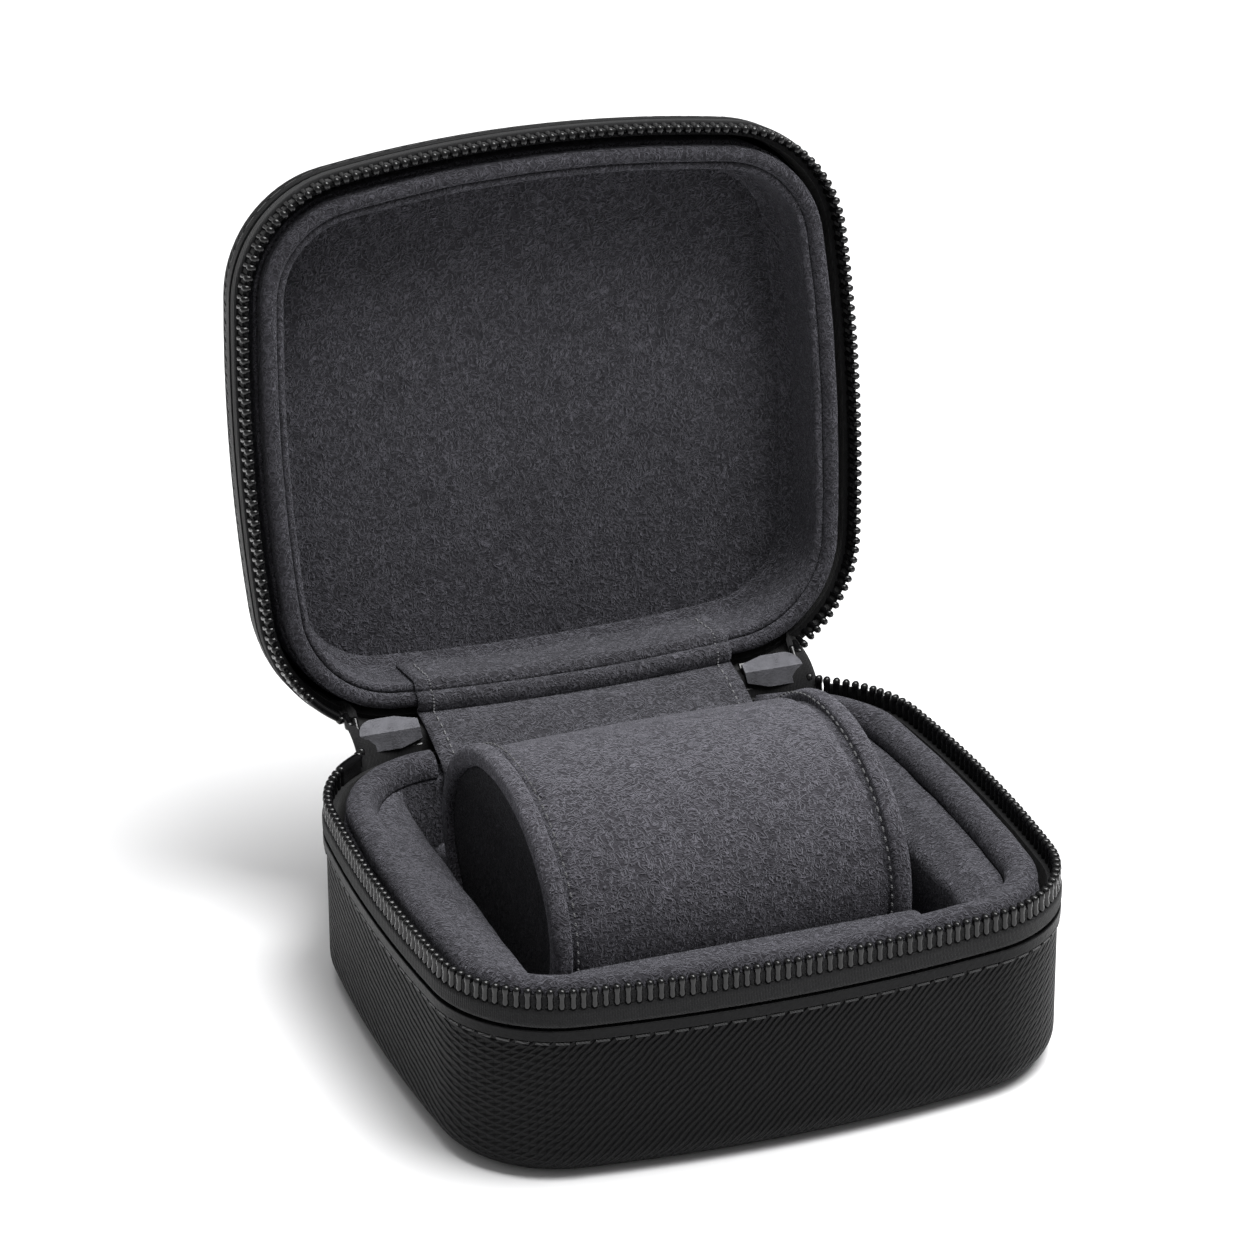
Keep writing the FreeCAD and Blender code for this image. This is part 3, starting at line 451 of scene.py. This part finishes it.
def floor_paper(name):
    """Seamless pale paper with the faintest mottle."""
    look = Shader(name, Roughness=0.9, Specular_IOR_Level=0.1)
    look.colour(look.ramp(look.noise(60, 2), (0.3, (0.86, 0.86, 0.865)), (0.7, (0.875, 0.875, 0.88))))
    return look.material


RIB_PITCH = 1.4
LINING = suede("lining_suede", (0.044, 0.043, 0.050))
ROLL = suede("roll_suede", (0.036, 0.035, 0.041), sheen=0.2)
CUSHION = suede("cushion_suede", (0.050, 0.048, 0.056), sheen=0.3)
# The ends are the cushion's suede painted darker, to less than half its colour and with less sheen:
# painted shade of the recessed ends.
SHADED_END_SUEDE = suede("end_suede", (0.022, 0.022, 0.025), sheen=0.08)
STRIP = suede("strip_suede", (0.050, 0.049, 0.056), sheen=0.2)
LEATHER = leather_ribs("ribbed_leather")
EDGE = smooth_leather("edge_leather")
TAPE = twill("zip_tape_weave")
TEETH = moulded("tooth_plastic", (0.004, 0.004, 0.0043), 0.06, gloss=0.42)
METAL = moulded("slider_metal", (0.030, 0.030, 0.033), 0.20, metallic=1.0, wear=0.35)
PULL = moulded("pull_metal", (0.16, 0.16, 0.165), 0.22, metallic=1.0)
BOARD = smooth_leather("board_paper")
DARK_THREAD = thread("dark_thread", (0.012, 0.012, 0.013))
STRIP_THREAD = thread("strip_thread", (0.22, 0.22, 0.23))
SEAM_THREAD = thread("seam_thread", (0.095, 0.095, 0.10))


def paint_frame():
    """Gives every CAD node that stays in view its material, and softens moulded edges."""
    looks = {"leather": LEATHER, "panel": LEATHER, "edge_binding": EDGE,
             "binding_stitches": DARK_THREAD, "board": BOARD, "zip_tape": TAPE, "zip_teeth": TEETH,
             "zip_chain": TEETH, "slider": METAL, "link": METAL, "pull": PULL, "cushion_core": LINING}
    for name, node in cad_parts.items():
        for word, material in looks.items():
            if word in name:
                node.data.materials.clear()
                node.data.materials.append(material)
        if "slider" in name or "pull" in name or "chain" in name:
            bevel = node.modifiers.new("soft_edges", "BEVEL")
            bevel.width = 0.18 * MM
            bevel.segments = 3


# ---------------------------------------------------------------- padding of the base

ROLL_OUT, ROLL_IN = -3.0, -8.6
WALL_INNER = -8.75
GATE = 29.7


def base_lining():
    """Rim roll, wall padding and floor pad of the base."""
    roll = rounded([(ROLL_OUT, 5.0, 0.8), (ROLL_OUT, 1.0, 2.3), (ROLL_IN, 1.1, 2.7),
                    (ROLL_IN + 0.1, 5.0, 0.6)], 7)
    piece = round_ring("base_roll_cover", "base", divided(roll, 0.9), ROLL, gate=GATE)
    finish_pad(piece, "base", "base_rim_roll", fill=0.7)
    wall = rounded([(-2.7, 5.1, 0.3), (-8.3, 5.1, 0.5), (WALL_INNER, 12, 3), (-8.6, 30.45, 0.3),
                    (-2.7, 30.45, 0.3)])
    piece = round_ring("base_wall_cover", "base", divided(wall, 2.2), LINING)
    finish_pad(piece, "base", "base_wall_padding", fill=0.5)
    low, high = node_box("base_floor_pad")
    piece = crowned_plate("base_floor_cover", "base", -4.6, RIM - high[2], RIM - low[2], 0.0, LINING)
    finish_pad(piece, "base", "base_floor_pad", fill=0.4)


def finish_pad(piece, body, *nodes, fill):
    """Declares a pad: the body it rides on and the CAD nodes it replaces; fill, how full it is, is not
    used.
    """
    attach(piece, body)
    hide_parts(*nodes)


def cavity_edge(axis, sign):
    """The cavity's outline on one side, as sorted arrays: place along, and reach."""
    pairs = []
    for place in stations(1.0):
        point = spot("base", place, WALL_INNER, 0)
        along, reach = (point.y, point.x) if axis == "x" else (point.x, point.y)
        if reach * sign > 0:
            pairs.append((along, reach))
    pairs.sort()
    return np.array(pairs).T


def bolster(side, sign):
    """Side pad: a crowned slope from the crease at the wall to a round shoulder."""
    low, high = node_box(f"base_bolster_{side}")
    inner = high[0] if sign < 0 else low[0]
    along, reach = cavity_edge("x", sign)
    top, fall, shoulder, floor = high[2], 3.0, 3.0, low[2]
    points = []
    for y in np.linspace(low[1] + 0.2, high[1] - 0.2, 56):
        outer = float(np.interp(y, along, reach))
        outer = max(outer, inner + 0.3) if sign > 0 else min(outer, inner - 0.3)
        wide = abs(outer - inner)
        ease = min(1.0, wide / 6)
        crease = (wide * 0.45, top - fall * 0.32 + 0.5 * ease, 0.1)
        loop = rounded([(0, floor, 0), (0, top, 0.05), crease,
                        (wide, top - fall, shoulder * 0.95 * ease), (wide, floor, 0)], 6)
        for across, z in loop:
            point = Vector((outer - sign * across, y, z))
            aside = ripple(point, 9, 0.25) * (across > 0)
            lift = ripple(-point, 8, 0.25) * (z > floor)
            points.append(point + Vector((aside, 0, lift)))
    faces = tube_faces(len(points) // len(loop), len(loop), False)
    piece = mesh_object(f"bolster_{side}_cover", points, faces, LINING)
    finish_pad(piece, "base", f"base_bolster_{side}", fill=0.6)


WALL_SINK = 2.2
END_ROUND = 2.6
BAND_BOX = node_box("cushion_band_left")


def cushion_oval(grow=0.0):
    """Centre and half sizes of the cushion's section, larger all round by grow."""
    low, high = BAND_BOX
    return ((low[1] + high[1]) / 2, (low[2] + high[2]) / 2, (high[1] - low[1]) / 2 + grow,
            (high[2] - low[2]) / 2 + grow)


def cradle(end, sign):
    """Block between wall and cushion, with a soft top edge and soft ends."""
    low, high = node_box(f"base_cradle_{end}")
    along, reach = cavity_edge("y", sign)
    back, up, deep, tall = cushion_oval(0.5)
    toe = high[1] if sign < 0 else low[1]
    top, floor = high[2], low[2]
    near_end = (0.0, 0.25, 0.8, 1.6, END_ROUND)
    slices = [low[0] + t for t in near_end]
    slices += list(np.linspace(low[0] + 4, high[0] - 4, 22))
    slices += [high[0] - t for t in reversed(near_end)]
    points = []
    for x in slices:
        margin = min(x - low[0], high[0] - x, END_ROUND)
        drop = END_ROUND - math.sqrt(END_ROUND ** 2 - (END_ROUND - margin) ** 2)
        wall = float(np.interp(x, along, reach))
        crest = top - drop
        edge = back + sign * deep * math.sqrt(max(0.0, 1 - ((crest - up) / tall) ** 2))
        loop = [Vector((wall, floor)), Vector((wall, crest - WALL_SINK - 0.5)),
                Vector((wall - sign * 0.6, crest - WALL_SINK))]
        loop += [Vector((wall + (edge - wall) * t, crest - WALL_SINK * (1 - t) - 0.5 * t * t)) for t in
                 (0.3, 0.6, 0.85)]
        for t in np.linspace(0.0, 1.0, 12):
            y = edge + (toe - edge) * t
            z = up - tall * math.sqrt(max(0.0, 1 - ((y - back) / deep) ** 2))
            loop.append(Vector((y, max(min(z, crest - 0.7), floor + 0.2))))
        loop.append(Vector((toe, floor)))
        points += [Vector((x, y, z)) for y, z in loop]
    faces = tube_faces(len(slices), len(loop), False)
    piece = mesh_object(f"cradle_{end}_cover", points, faces, LINING)
    finish_pad(piece, "base", f"base_cradle_{end}", fill=0.5)


# ---------------------------------------------------------------- padding of the lid

PANEL_DEPTH, PANEL_THICK = 15.5, 1.1


def lid_lining():
    """Rim roll, wall padding and panel of the lid."""
    roll = rounded([(-3.2, 5.0, 0.6), (-3.2, 0.8, 1.3), (-5.95, 0.8, 1.3), (-5.9, 5.0, 0.6)], 6)
    piece = round_ring("lid_roll_cover", "lid", divided(roll, 0.8), ROLL)
    finish_pad(piece, "lid", "lid_rim_roll", fill=0.7)
    wall = rounded([(-2.75, 5.15, 0.2), (-5.95, 5.15, 0.2), (-6.0, 1.95, 0.55), (-7.35, 1.95, 0.75),
                    (-7.45, 8, 3), (-7.6, 12.4, 2), (-9.4, 15.4, 0.1), (-5.4, 15.4, 0.3),
                    (-2.75, 12.0, 1.5)])
    piece = round_ring("lid_wall_cover", "lid", divided(wall, 1.6), LINING)
    finish_pad(piece, "lid", "lid_wall_padding", fill=0.5)
    piece = crowned_plate("lid_panel_cover", "lid", -6.7, PANEL_DEPTH, PANEL_DEPTH + PANEL_THICK,
                          0.35, LINING, 0.25)
    finish_pad(piece, "lid", "lid_lining_panel", fill=0.4)


# ---------------------------------------------------------------- hinge strips

def bow(x):
    """How far the back wall has curved inwards at x."""
    return x * x / (2 * BACK_BOW)


def strip_point(knot, x):
    """Where a strip's knot (half, offset, depth) lies at x."""
    half, offset, depth = knot
    back = RING_DEPTH / 2 + OUT[half] + offset - bow(x)
    return SWING[half] @ Vector((x, back, height_at(half, depth)))


def surface_up(path, j):
    """Direction square to a path that runs from back to front and up."""
    along = (path[min(j + 1, len(path) - 1)] - path[max(j - 1, 0)]).normalized()
    return Vector((0, -along.z, along.y))


def strip(name, node, knots, half_wide, thick, material):
    """A strip sewn to both halves, shaped as it lies with the lid open."""
    columns = 44
    points, grid = [], []
    for i in range(columns + 1):
        x = -half_wide + 2 * half_wide * i / columns
        grid.append(catmull([strip_point(knot, x) for knot in knots], 8))
    for i, path in enumerate(grid):
        across = min(i, columns - i) * 2 * half_wide / columns
        swell = thick / 2 * min(1.0, 0.45 + across * 0.5)
        for j, here in enumerate(path):
            up, lift = surface_up(path, j), ripple(here, 8, 0.22)
            points.append((here + up * (swell + lift), here - up * (swell - lift)))
    upper, lower = zip(*points)
    piece = mesh_object(name, upper + lower, sheet_faces(columns + 1, len(grid[0])), material)
    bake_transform(piece)
    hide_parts(node)
    return grid


def hinge_strips():
    """The lining strip that shows inside, its two rows of stitches, and the strip behind."""
    inner = [("base", -9.2, 12.4), ("base", -9.2, 8.0), ("base", -9.0, 5.0), ("base", -7.4, 3.0),
             ("base", -4.0, 1.4), ("base", 0.2, -0.2), ("lid", -2.5, 0.9), ("lid", -3.1, 0.35),
             ("lid", -4.5, -0.05), ("lid", -5.6, 0.35), ("lid", -6.1, 1.35), ("lid", -6.8, 1.2),
             ("lid", -7.85, 2.2), ("lid", -8.0, 6.0), ("lid", -8.05, 12.0)]
    grid = strip("hinge_strip_cover", "hinge_strip_inner", inner, 29.4, 0.9, STRIP)
    runs = []
    for column in (2, len(grid) - 3):
        path = grid[column]
        for j in range(0, len(path) - 3, 3):
            along = (path[j + 2] - path[j]).normalized()
            up = Vector((0, -along.z, along.y))
            runs.append((path[j] + up * 0.5, path[j].lerp(path[j + 2], 0.9) + up * 0.5, up))
    piece = dashes("hinge_strip_stitches", runs, STRIP_THREAD, 0.17)
    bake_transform(piece)
    outer = [("base", 1.8, 14.0), ("base", 1.8, 9.0), ("base", 2.4, 5.6), ("lid", 2.6, 2.6),
             ("lid", 1.9, 6.5), ("lid", 1.8, 11.0)]
    strip("hinge_back_cover", "hinge_strip_outer", outer, 27.0, 1.0, LEATHER)


# ---------------------------------------------------------------- zip teeth

# Each ring of a tooth: its distance from the tip, half width along the row and half thickness.
TOOTH_PROFILE = ((0.0, 0.15, 0.25), (0.08, 0.42, 0.55), (0.4, 0.64, 0.76), (0.95, 0.68, 0.82),
                 (1.45, 0.56, 0.70), (2.2, 0.54, 0.70), (2.9, 0.62, 0.82), (3.4, 0.58, 0.78),
                 (3.6, 0.35, 0.5))
TOOTH_PITCH = 1.78
ROW_END = 43.6
CHAIN_END, CHAIN_BACK, CHAIN_UP = 40.6, 49.0, 34.95
FOLD = Vector((0, 49.1, 32.5))
HALF_OPEN = Matrix.Translation(FOLD) @ Matrix.Rotation(-OPEN / 2, 4, "X") @ Matrix.Translation(-FOLD)


def tooth(tip, inwards, along):
    """One tooth: a round head on a slimmer shank, hooked over the tape's edge."""
    across = inwards.cross(along).normalized()
    points = []
    for reach, wide, thick in TOOTH_PROFILE:
        for i in range(8):
            turn = (i + 0.5) * math.pi / 4
            a, b = math.cos(turn), math.sin(turn)
            square = 1 / max(abs(a), abs(b)) ** 0.6
            points.append(tip + inwards * reach + (along * a * wide + across * b * thick) * square)
    return points, tube_faces(len(TOOTH_PROFILE), 8, False)


def gather(name, teeth, material):
    """One piece made of many teeth."""
    points, faces = [], []
    for some, quads in teeth:
        faces += [tuple(index + len(points) for index in quad) for quad in quads]
        points += some
    return mesh_object(name, points, faces, material)


def zip_teeth(half):
    """The open row of one half, spaced as the CAD row is, from slider to slider."""
    teeth = []
    places = stations(0.2)
    length = 0.0
    for before, place in zip(places, places[1:]):
        here = spot(half, place, 0, 0.05)
        step = here - spot(half, before, 0, 0.05)
        length += step.length
        plan = spot("base", place, 0, 0)
        if length < TOOTH_PITCH or (plan.y > 0 and abs(plan.x) < ROW_END):
            continue
        length -= TOOTH_PITCH
        teeth.append(tooth(here, -rimwards(half), step.normalized()))
    piece = gather(f"{half}_teeth_row", teeth, TEETH)
    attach(piece, half)
    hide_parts(f"{half}_zip_teeth")


def zip_mouth(side, sign, half):
    """Last teeth and tape that turn from the open row into the slider."""
    def miss(place):
        """How far a place is from the end of the open row on this side."""
        plan = spot("base", place, 0, 0)
        return abs(plan.x * sign - ROW_END) + (RING_WIDTH if plan.y < 0 else 0)

    row = min(stations(0.2), key=miss)
    up = 1 if half == "base" else -1
    start = spot(half, row, 0, 0.05)
    start_in = -rimwards(half)
    end = HALF_OPEN @ Vector((sign * CHAIN_END, CHAIN_BACK, CHAIN_UP - up * 0.2))
    end_in = HALF_OPEN.to_3x3() @ Vector((0, 0, -up))
    teeth, edge = [], []
    for i in range(7):
        t = i / 6
        tip, inwards = start.lerp(end, t), start_in.lerp(end_in, t * t * (3 - 2 * t)).normalized()
        along = (end - start).normalized()
        along = (along - inwards * along.dot(inwards)).normalized()
        if i % 2 == 1:
            teeth.append(tooth(tip, inwards, along))
        across = inwards.cross(along).normalized() * 0.32
        near, far = 3.2, 9.0 - 3.5 * t
        edge += [tip + inwards * reach + across * k for reach, k in
                 ((near, 1), (far, 1), (far, -1), (near, -1))]
    band = mesh_object(f"{half}_mouth_tape_{side}", edge, tube_faces(7, 4, False), TAPE, smooth=False)
    row_piece = gather(f"{half}_mouth_teeth_{side}", teeth, TEETH)
    for piece in (band, row_piece):
        if half == "base":
            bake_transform(piece)
        else:
            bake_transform(piece)


def ring_back():
    """Points along the back of the ring, as rows of x and of y, to interpolate between."""
    points = [spot("base", place, 0, 0) for place in stations(1.0)]
    return np.array(sorted((point.x, point.y) for point in points if point.y > 0)).T


def zip_gusset(side, sign):
    """Folded tape behind the slider, from the base's tape round the chain to the lid's."""
    grid = []
    ring_x, ring_y = ring_back()
    for x in np.linspace(24.0, 43.0, 14):
        back = float(np.interp(x, ring_x, ring_y))
        chain = HALF_OPEN @ Vector((0, (back + CHAIN_BACK) / 2 - 0.3, CHAIN_UP))
        knots = [Vector((x * sign, back - 0.4, RIM - 6.0)), Vector((x * sign, back - 0.2, RIM - 3.0)),
                 Vector((x * sign, chain.y, chain.z))]
        for depth in (3.0, 6.0):
            knots.append(LID_OPEN @ Vector((x * sign, back + OVERHANG - 0.4, RIM + GAP + depth)))
        grid.append(catmull(knots, 5))
    points = [here + surface_up(path, j) * 0.25 for path in grid for j, here in enumerate(path)]
    points += [here - Vector((0, 0, 0.35)) for path in grid for here in path]
    piece = mesh_object(f"zip_gusset_{side}", points, sheet_faces(len(grid), len(grid[0])), TAPE)
    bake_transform(piece)


def tape_edge(half):
    """The tape's edge, which the teeth are clamped over, seen between their shanks."""
    loop = rounded([(-0.3, 4.2, 0), (-0.3, 1.3, 0.2), (0.3, 1.3, 0.2), (0.3, 4.2, 0)], 3)
    piece = round_ring(f"{half}_tape_edge", half, loop, TAPE, gate=ROW_END, soft=0.0)
    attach(piece, half)


# ---------------------------------------------------------------- cushion

SEAM_STITCHES = 88


def oval_point(x, shrink, angle):
    """A point of the cushion's section, shrunk all round."""
    back, up, deep, tall = cushion_oval(-shrink)
    return Vector((x, back + deep * math.cos(angle), up + tall * math.sin(angle)))


def oval_ring(name, profile, material, node, steps=96):
    """A profile of (x, shrink) swept round the cushion's oval."""
    points = []
    for i in range(steps):
        angle = 2 * math.pi * i / steps
        for x, shrink in profile:
            point = oval_point(x, shrink, angle)
            points.append(oval_point(x, shrink + ripple(point, 7, 0.18), angle))
    piece = mesh_object(name, points, tube_faces(steps, len(profile), True), material)
    finish_pad(piece, "cushion", node, fill=0.6)


def cushion_cover():
    """The pillow's cover, blown up by cloth simulation from a slightly smaller bar."""
    low, high = node_box("cushion_cover")
    steps, start = 72, 1.3
    xs = np.linspace(low[0], high[0], 24)
    points = [oval_point(x, start - 0.5 * math.sin(math.pi * (x - low[0]) / (high[0] - low[0])),
                         2 * math.pi * i / steps) for x in xs for i in range(steps)]
    piece = mesh_object("cushion_pillow_cover", points, tube_faces(len(xs), steps, False), CUSHION)
    inflate(piece, 2.4 * MM, 1.1 * MM)
    settle(piece, low[0] * MM, high[0] * MM)
    finish_pad(piece, "cushion", "cushion_cover", fill=0.9)


def inflate(piece, voxel, cap):
    """Remeshes a closed form, swells it by pressure and caps how far each point moves."""
    remesh = piece.modifiers.new("even", "REMESH")
    remesh.mode = "VOXEL"
    remesh.voxel_size = voxel
    bake(piece)
    before = np.array([v.co for v in piece.data.vertices])
    cloth = piece.modifiers.new("cloth", "CLOTH")
    cloth.settings.use_pressure = True
    cloth.settings.uniform_pressure_force = 4
    cloth.settings.effector_weights.gravity = 0
    for number in range(1, 21):
        bpy.context.scene.frame_set(number)
    bake(piece)
    bpy.context.scene.frame_set(1)
    after = np.array([v.co for v in piece.data.vertices])
    moved = after - before
    length = np.linalg.norm(moved, axis=1, keepdims=True)
    moved *= np.minimum(1, cap / np.maximum(length, 1e-9))
    piece.data.vertices.foreach_set("co", (before + moved).astype(np.float32).ravel())
    subdivide = piece.modifiers.new("smooth", "SUBSURF")
    subdivide.levels = 1
    bake(piece)
    piece.data.shade_smooth()


def bake(piece):
    """Replaces the mesh by what its modifiers make of it."""
    graph = bpy.context.evaluated_depsgraph_get()
    made = bpy.data.meshes.new_from_object(piece.evaluated_get(graph))
    piece.modifiers.clear()
    piece.data = made


def settle(piece, low, high):
    """Keeps the cover between its two seams."""
    for vertex in piece.data.vertices:
        vertex.co.x = min(max(vertex.co.x, low), high)
    piece.data.update()


def cushion():
    """The cover, and at each side a band, a recessed end and a row of seam stitches."""
    cushion_cover()
    for side, sign in SIDES:
        low, high = node_box(f"cushion_band_{side}")
        end, seam = (low[0], high[0]) if sign < 0 else (high[0], low[0])
        out = -sign
        profile = rounded([(end, 0.0, 1.3), (seam, 0.25, 0.8), (seam, 3.9, 0.2), (end, 3.9, 1.2)], 5)
        oval_ring(f"cushion_{side}_band_cover", divided(profile, 1.0), CUSHION, f"cushion_band_{side}")
        disc_low, disc_high = node_box(f"cushion_end_{side}")
        face, rear = (disc_low[0], disc_high[0]) if sign < 0 else (disc_high[0], disc_low[0])
        disc(f"cushion_{side}_end_cover", face, rear, out, f"cushion_end_{side}")
        runs = []
        for i in range(SEAM_STITCHES):
            a, b = (2 * math.pi * (i + share) / SEAM_STITCHES for share in (0, 0.62))
            first, last = (oval_point(seam + out * 0.75, 0.45, angle) for angle in (a, b))
            runs.append((first, last, Vector((0, math.cos(a), math.sin(a)))))
        stitches = dashes(f"cushion_{side}_stitches", runs, SEAM_THREAD, 0.2)
        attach(stitches, "cushion")


def disc(name, face, rear, out, node):
    """Recessed end of the cushion: a softly dished oval pad, in the cushion's suede painted darker as
    shade.
    """
    steps = 72
    rings = [(rear, 1.0), (face, 1.0)]
    rings += [(face + out * 0.5 * (1 - t * t), t) for t in (0.96, 0.85, 0.7, 0.5, 0.3, 0.1)]
    points = []
    for x, share in rings:
        centre = Vector((x, *cushion_oval()[:2]))
        for i in range(steps):
            points.append(centre.lerp(oval_point(x, 4.05, 2 * math.pi * i / steps), share))
    piece = mesh_object(name, points, tube_faces(len(rings), steps, False), SHADED_END_SUEDE)
    finish_pad(piece, "cushion", node, fill=0.4)


# ---------------------------------------------------------------- studio

WORLD_LIGHT = 0.31
# Each light: name, place, the point it faces, size and power.
LIGHTS = [
    ("key", (0.36, -0.26, 1.14), (0, 0, 0.05), 0.75, 16.5),
    ("top", (0.12, 0.10, 1.15), (0, 0, 0.03), 0.9, 11.0),
]
# The camera: angles in degrees, and what it looks at and from how far in metres.
AZIMUTH, ELEVATION, TILT = -20.47, 24.72, -0.284
TARGET, DISTANCE = Vector((-0.01048, 0, 0.07279)), 0.8199
LENS = 143.5


def studio():
    """A white world, a pale floor and two soft boxes."""
    scene = bpy.context.scene
    scene.view_settings.view_transform = "Standard"
    world = bpy.data.worlds.new("studio")
    scene.world = world
    world.use_nodes = True
    world.node_tree.nodes["Background"].inputs["Color"].default_value = (1, 1, 1, 1)
    world.node_tree.nodes["Background"].inputs["Strength"].default_value = WORLD_LIGHT
    bpy.ops.mesh.primitive_plane_add(size=8, location=(0, 0, -0.0002))
    floor = bpy.context.object
    floor.name = "studio_floor"
    floor.data.materials.append(floor_paper("floor_paper"))
    for name, place, aim, size, power in LIGHTS:
        light = bpy.data.lights.new(name, "AREA")
        light.size = size
        light.energy = power
        lamp = bpy.data.objects.new(name, light)
        scene.collection.objects.link(lamp)
        lamp.location = place
        lamp.rotation_euler = (Vector(aim) - Vector(place)).to_track_quat("-Z", "Y").to_euler()


def camera():
    """The camera on its arc round the target."""
    azimuth, elevation, roll = (math.radians(angle) for angle in (AZIMUTH, ELEVATION, TILT))
    back = Vector((math.sin(azimuth) * math.cos(elevation), -math.cos(azimuth) * math.cos(elevation),
                   math.sin(elevation)))
    lens = bpy.data.cameras.new("camera")
    lens.lens = LENS
    lens.sensor_width = 36
    lens.clip_start = 0.01
    eye = bpy.data.objects.new("camera", lens)
    bpy.context.scene.collection.objects.link(eye)
    right = Vector((0, 0, 1)).cross(back).normalized()
    up = back.cross(right)
    turn = Matrix((right, up, back)).transposed() @ Matrix.Rotation(roll, 3, "Z")
    eye.matrix_world = Matrix.Translation(TARGET + back * DISTANCE) @ turn.to_4x4()
    bpy.context.scene.camera = eye


paint_frame()
base_lining()
for side, sign in SIDES:
    bolster(side, sign)
for end, sign in (("front", -1), ("back", 1)):
    cradle(end, sign)
lid_lining()
hinge_strips()
for half in OUT:
    zip_teeth(half)
    tape_edge(half)
    for side, sign in SIDES:
        zip_mouth(side, sign, half)
for side, sign in SIDES:
    zip_gusset(side, sign)
cushion()
studio()
camera()
